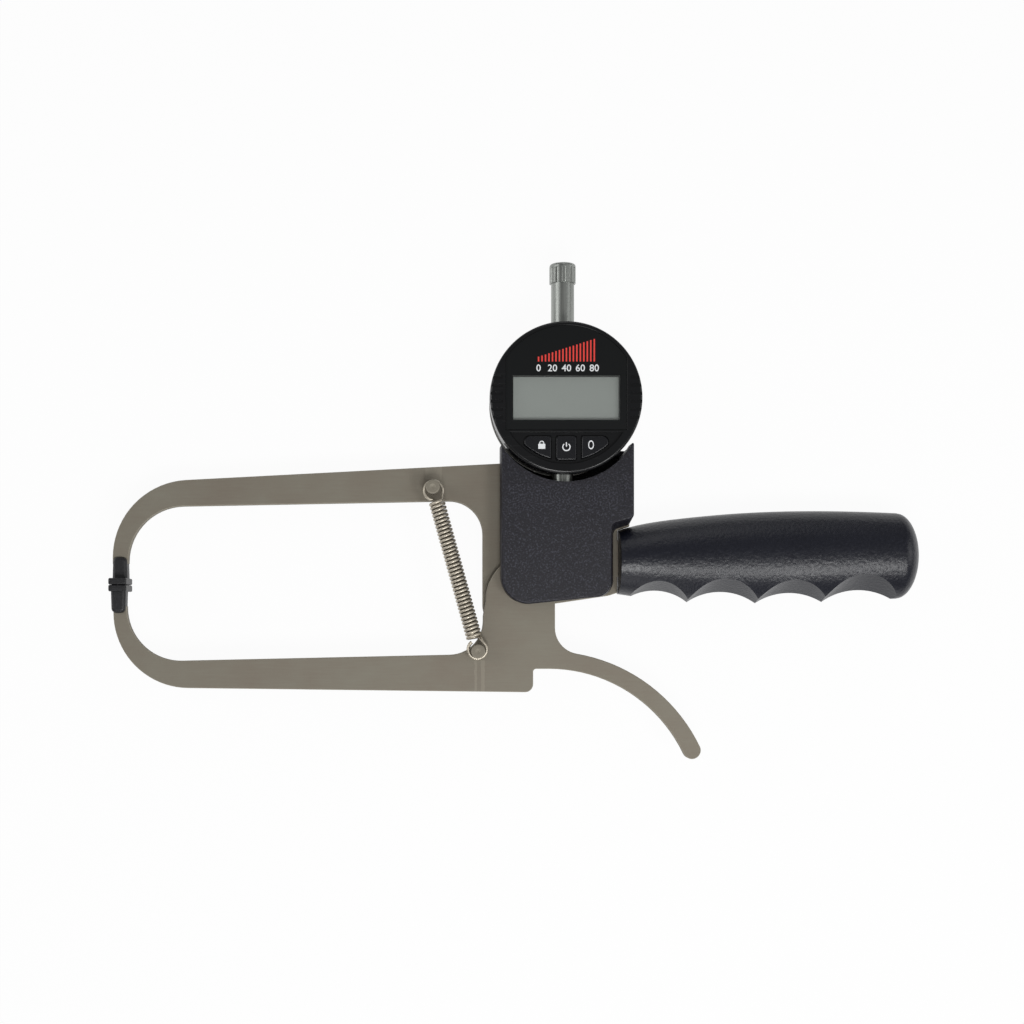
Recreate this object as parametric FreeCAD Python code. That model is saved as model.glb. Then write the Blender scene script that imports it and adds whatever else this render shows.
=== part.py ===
import FreeCAD, Part

import math
import os

# Skinfold caliper with a digital indicator, lying on its back. Lengths are in millimetres.
# Working datum: the hinge axis is X = Y = 0 and the frame plate's middle plane is Z = 0.
# The jaws point to -X, the handle to +X, the indicator's sleeve cap to +Y, its display to +Z.
# At the end everything moves so that the bottom centre of the whole is the origin.

V = FreeCAD.Vector

# ---- plates ----------------------------------------------------------------------------
plate_thickness = 3.0
layer_gap = 0.3            # thickness of the shim between the two plates
plate_edge_break = 0.3     # chamfer along the plates' front edges
frame_lip = 0.45           # the frame plate shows this much beyond the housing above the handle

jaw_reach = 156.3          # hinge axis to the middle of the jaw faces
jaw_arm_width = 6.0        # width of the upper arm where it ends in its jaw pad
lower_arm_cut = 0.9        # the lower arm is this much narrower, on its outer side
jaw_closed_y = -3.15       # height of the plane where the closed jaws meet
jaw_closed_gap = 0.1

throat_x = -17.2           # upright edge that closes the throat
throat_fillet = 12.9

frame_top_y = 44.05        # the upper arm's top edge, followed to the hinge axis
frame_top_tilt = 2.98      # degrees
throat_top_y = 29.65
throat_top_tilt = 1.09
upper_outer_radius = 29.8
upper_inner_radius = 21.4

lever_bottom_y = -44.18
lever_bottom_tilt = -0.70
throat_bottom_y = -29.24
throat_bottom_tilt = 1.27
lower_outer_radius = 28.8
lower_inner_radius = 20.4

heel_x = 1.95              # end of the lever's straight bottom edge
heel_radius = 3.1
hub_right_x = 10.3
hub_centre = (1.6, -9.0)
hub_radius = 17.8

trigger_centre_x = 7.8
trigger_root_y = -35.25    # lower edge of the trigger where it leaves the lever
trigger_inner_radius = 57.5
trigger_width = 6.7
trigger_tip_angle = 25.7   # degrees above the X axis, seen from the trigger's centre
trigger_root_fillet = 10.0

# ---- hinge -----------------------------------------------------------------------------
shoulder_radius = 3.0
running_fit = 0.03         # radial clearance of a turning or sliding shaft
seat_fit = 0.02            # radial clearance of a piece that stays in its seat
bush_radius = 5.0
shim_radius = 8.0
washer_radius = 6.5
washer_thickness = 0.5
bolt_head_radius = 5.0
bolt_head_height = 2.8
bolt_thread_radius = 2.5
bolt_socket = 4.0          # across the flats
bolt_socket_depth = 2.0
bolt_tail = 1.0            # thread left beyond the nut
nut_flats = 8.0
nut_height = 4.0

# ---- indicator drive -------------------------------------------------------------------
cam_base_radius = 13.3     # also the spindle's distance from the hinge axis
cam_contact_y = 6.0        # contact height with the jaws closed
jaw_opening = 30.0         # degrees of lever swing
cam_lead = 8.0             # degrees of cam before and after the part that is used
contact_gap = 0.02
ball_radius = 1.5
contact_shank_radius = 1.6
contact_flange_radius = 2.3
contact_length = 7.5
spindle_radius = 2.5
spindle_length = 89.5
stem_radius = 4.0
stem_length = 15.0

# ---- indicator -------------------------------------------------------------------------
dial_y = 66.6
bezel_radius = 28.5
spindle_z = plate_thickness + layer_gap
bezel_front_z = 18.0
bezel_back_z = 12.5
bezel_wall = 2.2
bezel_front_thickness = 2.5
bezel_edge_round = 1.0
face_recess = 1.0
face_thickness = 0.7
face_half_width = 22.6
face_rim = 1.6             # width of the bezel's rim round the face
window_width = 40.2
window_height = 16.8
window_y = -0.25           # its middle, from the dial's centre
window_ledge = 0.35
window_seat = 0.6          # depth of the lens's seat below the face panel
lens_thickness = 1.2
key_panel_top = -12.2
key_panel_strip = 0.8      # rib between the face panel and the keys' recess
recess_edge_break = 0.2
key_panel_rim = 3.7
key_panel_depth = 1.3
key_top_y = -14.5
key_middle_bottom_y = -23.4
key_arc_inset = 1.2        # from the recess's edge to the outer keys
key_middle_width = 7.5
key_spacing = 2.0
key_outer_x = 15.7
key_clearance = 0.3
key_proud = 1.0            # height of a key above the floor of its recess
key_travel = 0.5
key_flange = 0.8
key_edge_round = 0.4
rib_count = 6
rib_pitch = 3.0
rib_groove = 1.1
rib_depth = 0.6
case_step = 1.3            # the case is this much smaller than the bezel
case_back_z = -4.7
case_inner_radius = 24.5
back_cover_step = 0.9
back_cover_thickness = 1.5
cover_screw_inset = 1.9    # from the case's bore to the cover screws
cover_screw_radius = 0.8
cover_screw_head = 1.5     # radius
cover_screw_sink = 0.8     # height of the head, which is flush with the cover
board_thickness = 1.6
board_z = 8.5
lcd_width = 43.0
lcd_height = 19.0
lcd_thickness = 2.0
cell_x = 13.0
cell_y = -7.0
cell_radius = 5.8
cell_height = 5.0
carrier_width = 12.0
carrier_height = 10.0
scale_length = 26.0
scale_thickness = 0.8
scale_gap = 0.4            # air between the scale and the board
guide_rod_x = -9.5
guide_rod_radius = 1.0
return_spring_x = 8.6
sleeve_radius = 4.4
sleeve_bore = 2.9
sleeve_step = 0.8          # the spigot under the cap is this much thinner
spigot_length = 4.0
sleeve_top_y = 45.4        # above the dial's centre, where the cap begins
cap_radius = 5.0
cap_height = 7.5
cap_flutes = 12
cap_flute_depth = 0.3
cap_flute_radius = 1.3
cap_rim = 1.6              # plain rim above the flutes

# ---- housing ---------------------------------------------------------------------------
housing_left_x = -10.6
housing_right_x = 39.65
housing_top_y = 50.4
housing_front_z = 11.0
housing_back_z = -13.0
housing_wall = 2.0
housing_edge_round = 0.8
housing_lower_right_x = 31.2
housing_notch_y = 20.0
housing_bottom_y = -10.5
bottom_right_rise = 3.2    # the bottom edge ends this much higher at the right
bottom_left_drop = 1.1     # and this much lower at the left
housing_flare = 2.0        # the front cover's wall beside the handle stands out this much at its foot
back_inset = 1.2           # the back cover is this much smaller all round
cradle_offset = (0.7, -2.0)  # centre of the hollow that leaves room for the indicator
cradle_gap = 0.3
shelf_gap = 0.4            # between the indicator's back and the shelf behind it
label_depth = 0.2
label_margin = 3.8         # between the label's recess and the housing's sides
label_low_y = 25.7
label_high_y = 36.3
housing_screws_at = [(-5.2, 36.0), (33.6, 36.0), (-6.3, 17.0), (26.3, -2.2)]
boss_radius = 3.1
screw_radius = 1.4
screw_pilot = 1.42
screw_clear = 1.7
screw_head_radius = 2.7
screw_head_height = 2.0

clamp_half_width = 9.5
clamp_length = 9.0         # along the stem
clamp_gap = 0.6            # to the housing's wall round the indicator
clamp_front_z = 8.8
clamp_screw_x = 7.0
clamp_screw_radius = 1.25

# ---- handle ----------------------------------------------------------------------------
handle_start_x = 34.8
handle_dome = 8.0          # depth of the domed end
dome_step = 0.1            # seam between the grip and its domed end
tang_bottom_y = 0.0
tang_top_y = 14.0
tang_end_x = 120.0
shoulder_gap = 0.3         # between the frame's shoulder and the handle's end
# x, lowest y, highest y, half thickness of the grip's oval section
handle_sections = [
    (handle_start_x, -6.3, 17.4, 12.2),
    (46.0, -8.3, 20.6, 12.7),
    (60.6, -9.9, 22.6, 12.9),
    (74.0, -10.5, 23.9, 12.9),
    (87.8, -10.8, 24.8, 12.9),
    (114.0, -10.0, 25.3, 12.9),
    (141.8, -8.4, 24.5, 12.6),
]
# x of the middle, y of the deepest line, radius, and rise to both sides in degrees of each groove
finger_grooves = [
    (48.8, -5.3, 20.0, 18.0),
    (74.2, -5.8, 22.9, 23.0),
    (100.8, -6.2, 24.0, 23.0),
    (127.4, -5.1, 24.4, 27.0),
]
groove_reach = 15.0        # distance from the middle plane at which a groove's narrow end lies
groove_narrowing = 0.6     # radius of the narrow end, as a share of the radius at the middle plane
handle_screws_x = (58.0, 106.0)
handle_screw_end_z = 7.5

# ---- closing spring --------------------------------------------------------------------
upper_pin_at = (-36.5, 33.85)
lower_pin_at = (-19.3, -28.5)
spring_z = 8.5
spring_wire = 1.3
spring_outer_radius = 3.15
spring_turns = 37
loop_radius = 3.5          # to the middle of the wire
upper_loop_play = 0.15     # from the neck to the loop, on the side away from the coil
lower_loop_play = 0.7
loop_to_coil = 5.1         # pin centre to the coil's end
pin_neck_radius = 1.35
pin_collar_radius = 2.3
pin_head_radius = 2.7
pin_head_height = 1.6
pin_shank_radius = 1.5
pin_side_play = 0.3        # on both sides of the wire, along the neck

# ---- jaw pads --------------------------------------------------------------------------
pad_width = 5.8
pad_face_width = 6.9
pad_face_depth = 13.0
pad_flange = 2.5
pad_sleeve_length = 8.2
pad_cheek = 1.7
pad_taper = 0.25           # the sleeve's end is this much narrower on each side
pad_tip_round = 1.9
pad_edge_round = 1.3
pad_flange_round = 0.6
pad_fit = 0.05
tongue_width = 3.8
neck_to_pad_top = 2.6      # the arm narrows to its tongue this far inside the sleeve

# ---- derived places --------------------------------------------------------------------
frame_front_z = plate_thickness / 2
frame_back_z = -frame_front_z
lever_back_z = frame_front_z + layer_gap
lever_front_z = lever_back_z + plate_thickness
spindle_x = cam_base_radius
housing_inner_front_z = housing_front_z - housing_wall
housing_inner_back_z = housing_back_z + housing_wall
stem_bottom_y = dial_y - bezel_radius - stem_length
contact_tip_y = cam_contact_y + contact_gap
spindle_bottom_y = contact_tip_y + contact_length
bezel_inner_radius = bezel_radius - bezel_wall
face_radius = bezel_radius - face_rim
key_panel_radius = bezel_radius - key_panel_rim
key_arc_radius = key_panel_radius - key_arc_inset
case_radius = bezel_radius - case_step
back_cover_radius = bezel_radius - back_cover_step
cover_screw_circle = case_inner_radius - cover_screw_inset
cradle_x = spindle_x + cradle_offset[0]
cradle_y = dial_y + cradle_offset[1]
cradle_radius = bezel_radius + cradle_gap
clamp_top_y = cradle_y - cradle_radius - housing_wall - clamp_gap
clamp_bottom_y = clamp_top_y - clamp_length
bezel_wall_back_z = bezel_front_z - bezel_front_thickness
board_front_z = board_z + board_thickness
lcd_back_z = bezel_wall_back_z - 0.2 - lcd_thickness
face_floor_z = bezel_front_z - face_recess
key_floor_z = bezel_front_z - key_panel_depth
key_foot_z = board_front_z + 3.2
back_cover_z = case_back_z - back_cover_thickness
dome_y = (key_top_y + key_middle_bottom_y) / 2
bolt_end_z = frame_back_z - washer_thickness - nut_height - bolt_tail
scale_z = board_z - scale_gap - scale_thickness
spigot_radius = sleeve_radius - sleeve_step
spigot_top_y = sleeve_top_y + spigot_length
screw_seat_radius = screw_head_radius + 0.15
battery_cover_radius = cell_radius + 0.6
spring_plane_low = spring_z - spring_wire / 2 - pin_side_play
spring_plane_high = spring_z + spring_wire / 2 + pin_side_play


# ---- helpers ---------------------------------------------------------------------------
def block(x0, x1, y0, y1, z0, z1):
    return Part.makeBox(x1 - x0, y1 - y0, z1 - z0, V(x0, y0, z0))


def post(x, y, z0, z1, radius):
    """Round bar along Z."""
    return Part.makeCylinder(radius, z1 - z0, V(x, y, z0))


def bar(x, z, y0, y1, radius):
    """Round bar along Y."""
    return Part.makeCylinder(radius, y1 - y0, V(x, y0, z), V(0, 1, 0))


def ring(x, y, z0, z1, outer, inner):
    return post(x, y, z0, z1, outer).cut(post(x, y, z0, z1, inner))


def hexagon(x, y, z0, z1, flats):
    corner = flats / math.sqrt(3)
    turns = [math.radians(60 * i) for i in range(7)]
    wire = Part.makePolygon([V(x + corner * math.cos(a), y + corner * math.sin(a), z0) for a in turns])
    return Part.Face(wire).extrude(V(0, 0, z1 - z0))


def rounded_wire(corners):
    """Closed outline through corners (x, y, corner radius), straight between its tangent arcs."""
    stops = []
    for i, (x, y, radius) in enumerate(corners):
        here = V(x, y, 0)
        before = V(*corners[i - 1][:2], 0) - here
        after = V(*corners[(i + 1) % len(corners)][:2], 0) - here
        if radius == 0:
            stops.append((here, None, here))
            continue
        half = before.getAngle(after) / 2
        before.normalize()
        after.normalize()
        inwards = before + after
        inwards.normalize()
        reach = radius / math.tan(half)
        middle = here + inwards * (radius / math.sin(half) - radius)
        stops.append((here + before * reach, middle, here + after * reach))
    edges = []
    for i, (enter, middle, leave) in enumerate(stops):
        if middle is not None:
            edges.append(Part.Arc(enter, middle, leave).toShape())
        following = stops[(i + 1) % len(stops)][0]
        if leave.distanceToPoint(following) > 1e-6:
            edges.append(Part.LineSegment(leave, following).toShape())
    return Part.Wire(edges)


def prism(corners, z0, z1):
    face = Part.Face(rounded_wire(corners))
    face.translate(V(0, 0, z0))
    return face.extrude(V(0, 0, z1 - z0))


def union(first, *others):
    return first.fuse(list(others)).removeSplitter()


def without(shape, *tools):
    return shape.cut(list(tools))


def one_solid(shape):
    """The single solid inside a boolean result."""
    solids = shape.Solids
    assert len(solids) == 1, f"expected one solid, got {len(solids)}"
    return solids[0]


def round_upright(shape, x, y, radius):
    """Fillet the edge along Z that is nearest to (x, y)."""
    uprights = [e for e in shape.Edges if abs(e.tangentAt(e.FirstParameter).z) > 0.999]
    nearest = min(uprights, key=lambda e: math.hypot(e.CenterOfMass.x - x, e.CenterOfMass.y - y))
    return shape.makeFillet(radius, [nearest])


def edges_at_z(shape, z):
    return [e for e in shape.Edges if abs(e.BoundBox.ZMin - z) < 1e-4 and abs(e.BoundBox.ZMax - z) < 1e-4]


def line_y(height, tilt, x):
    """Height at x of an edge that crosses the hinge axis at `height` and tilts by degrees."""
    return height + math.tan(math.radians(tilt)) * x


# ---- the two plates --------------------------------------------------------------------
jaw_left_x = -jaw_reach - jaw_arm_width / 2
jaw_right_x = -jaw_reach + jaw_arm_width / 2
lower_left_x = jaw_left_x + lower_arm_cut
jaw_middle_z = (plate_thickness + layer_gap) / 2
upper_face_y = jaw_closed_y + jaw_closed_gap / 2
lower_face_y = jaw_closed_y - jaw_closed_gap / 2


def arm_end(face_y, side, left_x):
    """Corners of one arm's end, at its full width."""
    end_y = face_y + side * (pad_flange + pad_fit)
    return [(jaw_right_x, end_y, 0), (left_x, end_y, 0)]


def tongue_cuts(face_y, side, z0, z1):
    """Blocks beside the tongue that the pad slides on."""
    neck_y = face_y + side * (pad_flange + pad_sleeve_length - neck_to_pad_top)
    span_y = sorted((neck_y, face_y))
    tongue = tongue_width / 2
    return [block(-jaw_reach - jaw_arm_width, -jaw_reach - tongue, *span_y, z0, z1),
            block(-jaw_reach + tongue, -jaw_reach + jaw_arm_width, *span_y, z0, z1)]


def break_front_edges(plate, z):
    outer = max(plate.Faces, key=lambda f: f.Area if abs(f.BoundBox.ZMin - z) < 1e-4 else 0)
    return plate.makeChamfer(plate_edge_break, outer.OuterWire.Edges)


def frame_corners():
    crest_y = line_y(frame_top_y, frame_top_tilt, housing_left_x)
    inner_right = housing_right_x - housing_wall - 0.25
    shoulder_x = handle_start_x - shoulder_gap
    lip_y = housing_notch_y - housing_flare - frame_lip
    return arm_end(upper_face_y, 1, jaw_left_x) + [
        (jaw_left_x, line_y(frame_top_y, frame_top_tilt, jaw_left_x), upper_outer_radius),
        (housing_left_x, crest_y, 0),
        (inner_right, crest_y, 2.0),
        (inner_right, housing_notch_y + 2.8, 0),
        (housing_right_x - frame_lip, housing_notch_y + 2.8, 0),
        (housing_right_x - frame_lip, lip_y + 1.7, 0.8),
        (shoulder_x, lip_y + 0.15, 0),
        (shoulder_x, tang_top_y, 0),
        (tang_end_x, tang_top_y, 6.5),
        (tang_end_x, tang_bottom_y, 6.5),
        (shoulder_x, tang_bottom_y, 0),
        (shoulder_x, housing_bottom_y + 4.35, 0),
        (housing_lower_right_x, housing_bottom_y + 3.25, 6.0),
        (6.0, housing_bottom_y - 0.5, 12.0),
        (-5.0, housing_bottom_y - 9.0, 9.0),
        (throat_x, housing_bottom_y - 9.0, 8.5),
        (throat_x, line_y(throat_top_y, throat_top_tilt, throat_x), throat_fillet),
        (jaw_right_x, line_y(throat_top_y, throat_top_tilt, jaw_right_x), upper_inner_radius),
    ]


def frame_plate():
    plate = prism(frame_corners(), frame_back_z, frame_front_z)
    plate = break_front_edges(plate, frame_front_z)
    slot_half = stem_radius + 0.5
    tip_slot_half = spindle_radius + 0.6
    slot_foot = contact_tip_y + ball_radius
    cuts = [
        post(cradle_x, cradle_y, frame_back_z, frame_front_z, cradle_radius),
        block(spindle_x - slot_half, spindle_x + slot_half, stem_bottom_y - 0.6, dial_y,
              frame_back_z, frame_front_z),
        block(spindle_x - tip_slot_half, spindle_x + tip_slot_half, slot_foot, dial_y,
              frame_back_z, frame_front_z),
        post(spindle_x, slot_foot, frame_back_z, frame_front_z, tip_slot_half),
        post(0, 0, frame_back_z, frame_front_z, shoulder_radius + seat_fit),
        post(*upper_pin_at, frame_back_z, frame_front_z, pin_shank_radius + seat_fit),
    ]
    cuts += tongue_cuts(upper_face_y, 1, frame_back_z, frame_front_z)
    cuts += [post(x, y, frame_back_z, frame_front_z, screw_clear) for x, y in housing_screws_at]
    cuts += [post(x, handle_mid_y(), frame_back_z, frame_front_z, screw_clear) for x in handle_screws_x]
    for side in (-1, 1):
        cuts.append(post(spindle_x + side * clamp_screw_x, clamp_mid_y(), frame_back_z, frame_front_z,
                         clamp_screw_radius + seat_fit))
    return one_solid(without(plate, *cuts))


def handle_mid_y():
    return (tang_bottom_y + tang_top_y) / 2


def clamp_mid_y():
    return (clamp_bottom_y + clamp_top_y) / 2


def cam_lug():
    """Involute of the base circle, so the spindle rises in proportion to the lever's turn."""
    start_roll = cam_contact_y / cam_base_radius
    points = []
    steps = 12
    for i in range(steps + 1):
        turn = math.radians(cam_lead - i * (jaw_opening + 2 * cam_lead) / steps)
        roll = start_roll - turn
        points.append(V(cam_base_radius * (math.cos(turn) - roll * math.sin(turn)),
                        cam_base_radius * (math.sin(turn) + roll * math.cos(turn)), 0))
    cam = Part.BSplineCurve()
    cam.interpolate(points)
    nose = points[-1]
    under = [nose, V(nose.x + 0.8, nose.y - 1.2, 0), V(nose.x - 0.6, nose.y - 5.2, 0),
             V(hub_right_x, cam_contact_y - 9.5, 0), V(0, 0, 0), points[0]]
    edges = [cam.toShape()] + [Part.LineSegment(a, b).toShape() for a, b in zip(under, under[1:])]
    face = Part.Face(Part.Wire(edges))
    face.translate(V(0, 0, lever_back_z))
    return face.extrude(V(0, 0, plate_thickness))


def trigger():
    centre_y = trigger_root_y - trigger_inner_radius
    outer = trigger_inner_radius + trigger_width
    curve = ring(trigger_centre_x, centre_y, lever_back_z, lever_front_z, outer, trigger_inner_radius)
    middle = trigger_inner_radius + trigger_width / 2
    tip = math.radians(trigger_tip_angle)
    far = 2 * outer
    wedge = prism([
        (trigger_centre_x, centre_y, 0),
        (trigger_centre_x + far * math.cos(tip), centre_y + far * math.sin(tip), 0),
        (trigger_centre_x + far, centre_y + far, 0),
        (trigger_centre_x, centre_y + far, 0),
    ], lever_back_z, lever_front_z)
    end = post(trigger_centre_x + middle * math.cos(tip), centre_y + middle * math.sin(tip),
               lever_back_z, lever_front_z, trigger_width / 2)
    return union(curve.common(wedge), end)


def lever_plate():
    corners = list(reversed(arm_end(lower_face_y, -1, lower_left_x))) + [
        (jaw_right_x, line_y(throat_bottom_y, throat_bottom_tilt, jaw_right_x), lower_inner_radius),
        (throat_x, line_y(throat_bottom_y, throat_bottom_tilt, throat_x), throat_fillet),
        (throat_x, hub_centre[1] - 6.0, 0),
        (hub_centre[0] - hub_radius + 0.1, hub_centre[1], 0),
        (hub_right_x, hub_centre[1], 0),
        (hub_right_x, trigger_root_y + 1.2, 0),
        (trigger_centre_x, trigger_root_y, 0),
        (heel_x, trigger_root_y, 1.2),
        (heel_x, line_y(lever_bottom_y, lever_bottom_tilt, heel_x), heel_radius),
        (lower_left_x, line_y(lever_bottom_y, lever_bottom_tilt, lower_left_x), lower_outer_radius),
    ]
    arm = prism(corners, lever_back_z, lever_front_z)
    disc = post(*hub_centre, lever_back_z, lever_front_z, hub_radius)
    keep = block(hub_centre[0] - 2 * hub_radius, hub_right_x, hub_centre[1], hub_centre[1] + 2 * hub_radius,
                 lever_back_z, lever_front_z)
    plate = union(arm, disc.common(keep), trigger(), cam_lug())
    outer = trigger_inner_radius + trigger_width
    drop = trigger_inner_radius - trigger_root_y
    root_y = math.sqrt(outer**2 - (hub_right_x - trigger_centre_x)**2) - drop
    plate = round_upright(plate, hub_right_x, root_y, trigger_root_fillet)
    plate = break_front_edges(one_solid(plate), lever_front_z)
    return one_solid(without(
        plate,
        post(0, 0, lever_back_z, lever_front_z, bush_radius + seat_fit),
        post(*lower_pin_at, lever_back_z, lever_front_z, pin_shank_radius + seat_fit),
        *tongue_cuts(lower_face_y, -1, lever_back_z, lever_front_z),
    ))


# ---- jaw pads --------------------------------------------------------------------------
def jaw_pad(face_y, side, plate_back_z):
    """Moulded cap pushed over an arm's tongue, with a flange that carries the measuring face."""
    plate_z = (plate_back_z, plate_back_z + plate_thickness)
    face_half = pad_face_width / 2
    flange_y = sorted((face_y, face_y + side * pad_flange))
    flange = block(-jaw_reach - face_half, -jaw_reach + face_half, *flange_y,
                   jaw_middle_z - pad_face_depth / 2, jaw_middle_z + pad_face_depth / 2)
    flange = flange.makeFillet(pad_flange_round, flange.Edges)
    root_y = face_y + side * (pad_flange - 0.2)
    top_y = face_y + side * (pad_flange + pad_sleeve_length)
    root_half = pad_width / 2
    tip_half = root_half - pad_taper
    corners = [
        (-jaw_reach - root_half, root_y, 0),
        (-jaw_reach - tip_half, top_y, pad_tip_round),
        (-jaw_reach + tip_half, top_y, pad_tip_round),
        (-jaw_reach + root_half, root_y, 0),
    ]
    cheek_z = (plate_z[0] - pad_cheek, plate_z[1] + pad_cheek)
    sleeve = prism(corners, *cheek_z)
    rims = [e for z in cheek_z for e in edges_at_z(sleeve, z) if abs(e.CenterOfMass.y - root_y) > 0.1]
    sleeve = sleeve.makeFillet(pad_edge_round, rims)
    slot_z = (plate_z[0] - pad_fit, plate_z[1] + pad_fit)
    tongue = tongue_width / 2 + pad_fit
    floor_y = face_y + side * pad_flange
    neck_y = top_y - side * (neck_to_pad_top + pad_fit)
    deep = block(-jaw_reach - tongue, -jaw_reach + tongue, *sorted((floor_y, top_y + side)), *slot_z)
    wide = block(-jaw_reach - pad_width, -jaw_reach + pad_width, *sorted((neck_y, top_y + side)), *slot_z)
    return one_solid(without(union(flange, sleeve), deep, wide))


# ---- hinge -----------------------------------------------------------------------------
def pivot_bolt():
    """Shoulder bolt: the lever's bush turns on the shoulder, the nut pulls it to the frame."""
    head_z = lever_front_z + washer_thickness
    top_z = head_z + bolt_head_height
    head = post(0, 0, head_z, top_z, bolt_head_radius)
    head = head.makeChamfer(0.4, edges_at_z(head, top_z))
    socket = hexagon(0, 0, top_z - bolt_socket_depth, top_z, bolt_socket)
    shoulder = post(0, 0, frame_back_z, head_z, shoulder_radius)
    thread = post(0, 0, bolt_end_z, frame_back_z, bolt_thread_radius)
    return one_solid(without(union(head, shoulder, thread), socket))


def pivot_nut():
    top = frame_back_z - washer_thickness
    nut = hexagon(0, 0, top - nut_height, top, nut_flats)
    return one_solid(nut.cut(post(0, 0, top - nut_height, top, bolt_thread_radius + seat_fit)))


def pivot_bush():
    return ring(0, 0, lever_back_z, lever_front_z, bush_radius, shoulder_radius + running_fit)


def pivot_shim():
    return ring(0, 0, frame_front_z, lever_back_z, shim_radius, shoulder_radius + seat_fit)


def front_washer():
    return ring(0, 0, lever_front_z, lever_front_z + washer_thickness, washer_radius,
                shoulder_radius + seat_fit)


def back_washer():
    return ring(0, 0, frame_back_z - washer_thickness, frame_back_z, washer_radius,
                bolt_thread_radius + seat_fit)


# ---- closing spring --------------------------------------------------------------------
def spring_direction():
    axis = V(lower_pin_at[0] - upper_pin_at[0], lower_pin_at[1] - upper_pin_at[1], 0)
    return axis, axis.Length


def spring_pin(at, seat_z):
    """Riveted stud: shank in the plate, neck for the spring's loop, domed head."""
    top_z = spring_plane_high + pin_head_height
    shank = post(*at, seat_z - plate_thickness, seat_z, pin_shank_radius)
    collar = post(*at, seat_z, spring_plane_low, pin_collar_radius)
    neck = post(*at, seat_z, spring_plane_high, pin_neck_radius)
    head = post(*at, spring_plane_high, top_z, pin_head_radius)
    head = head.makeFillet(0.6, edges_at_z(head, top_z))
    dimple = Part.makeCone(0.2, 1.15, 0.5, V(*at, top_z - 0.5))
    return one_solid(without(union(shank, collar, neck, head), dimple))


def spring_loop(pin, play, towards, coil_end):
    """Wire loop round a pin's neck with a short stub that runs to the coil's end."""
    reach = loop_radius - spring_wire / 2 - pin_neck_radius - play
    centre = V(*pin, spring_z) + towards * reach
    loop = Part.makeTorus(loop_radius, spring_wire / 2, centre, V(0, 0, 1))
    stub_from = centre + towards * loop_radius
    stub_length = coil_end.distanceToPoint(stub_from)
    stub = Part.makeCylinder(spring_wire / 2, stub_length + 0.01, stub_from - towards * 0.01, towards)
    return loop, stub


def coil(start, direction, length):
    """Close-wound coil, one ridge for each turn."""
    pitch = length / spring_turns
    valley = spring_outer_radius - spring_wire / 2
    outer = []
    for i in range(spring_turns):
        outer.append(V(valley, 0, i * pitch))
        outer.append(V(spring_outer_radius, 0, (i + 0.5) * pitch))
    outer.append(V(valley, 0, length))
    inner = spring_outer_radius - spring_wire
    outline = [V(inner, 0, 0)] + outer + [V(inner, 0, length), V(inner, 0, 0)]
    solid = Part.Face(Part.makePolygon(outline)).revolve(V(0, 0, 0), V(0, 0, 1), 360)
    solid.Placement = FreeCAD.Placement(start, FreeCAD.Rotation(V(0, 0, 1), direction))
    return solid


def closing_spring():
    axis, span = spring_direction()
    axis.normalize()
    start = V(*upper_pin_at, spring_z) + axis * loop_to_coil
    body = coil(start, axis, span - 2 * loop_to_coil)
    end_plate = Part.makeCylinder(spring_outer_radius - spring_wire / 2, spring_wire, start, axis)
    loop, stub = spring_loop(upper_pin_at, upper_loop_play, axis, start)
    return one_solid(union(body, end_plate, loop, stub))


def spring_lower_hook():
    axis, span = spring_direction()
    axis.normalize()
    coil_end = V(*upper_pin_at, spring_z) + axis * (span - loop_to_coil)
    loop, stub = spring_loop(lower_pin_at, lower_loop_play, axis * -1, coil_end)
    plate = Part.makeCylinder(spring_outer_radius - spring_wire / 2, 0.3, coil_end, axis)
    return one_solid(union(loop, stub, plate))


# ---- housing ---------------------------------------------------------------------------
def housing_outline(inset, flare=0):
    """Outline of both covers, moved inwards by `inset` and beside the handle outwards by `flare`."""
    left = housing_left_x + inset
    right = housing_right_x - inset
    top = housing_top_y - inset
    step = housing_lower_right_x - inset + flare
    notch = housing_notch_y + inset - flare
    bottom = housing_bottom_y + inset
    slope = (bottom_right_rise + bottom_left_drop) / (housing_lower_right_x - housing_left_x)
    return [
        (left, top, 0.5),
        (right, top, 0.5),
        (right, notch + 1.9, max(2.2 - inset, 0.5)),
        (step, notch - 0.3, 2.6 + inset),
        (step, bottom + bottom_right_rise + slope * flare, max(6.2 - inset, 1.0)),
        (left, bottom - bottom_left_drop, max(10.5 - inset, 1.0)),
    ]


def plate_pocket():
    """The frame plate's outline with room to spare, cut out of both covers' rims."""
    wire = rounded_wire(frame_corners()).makeOffset2D(pad_fit)
    wire.translate(V(0, 0, frame_back_z))
    return Part.Face(wire).extrude(V(0, 0, plate_thickness))


def housing_body(z_closed, inset, flare):
    """Solid form of a cover, with its walls' foot at the frame's middle plane."""
    body = prism(housing_outline(inset), *sorted((0, z_closed)))
    body = body.makeFillet(housing_edge_round, edges_at_z(body, z_closed))
    if flare == 0:
        return body
    foot = rounded_wire(housing_outline(inset, flare))
    rim = rounded_wire(housing_outline(inset))
    rim.translate(V(0, 0, z_closed - math.copysign(housing_edge_round, z_closed)))
    return union(body, Part.makeLoft([foot, rim], True, True))


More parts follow.
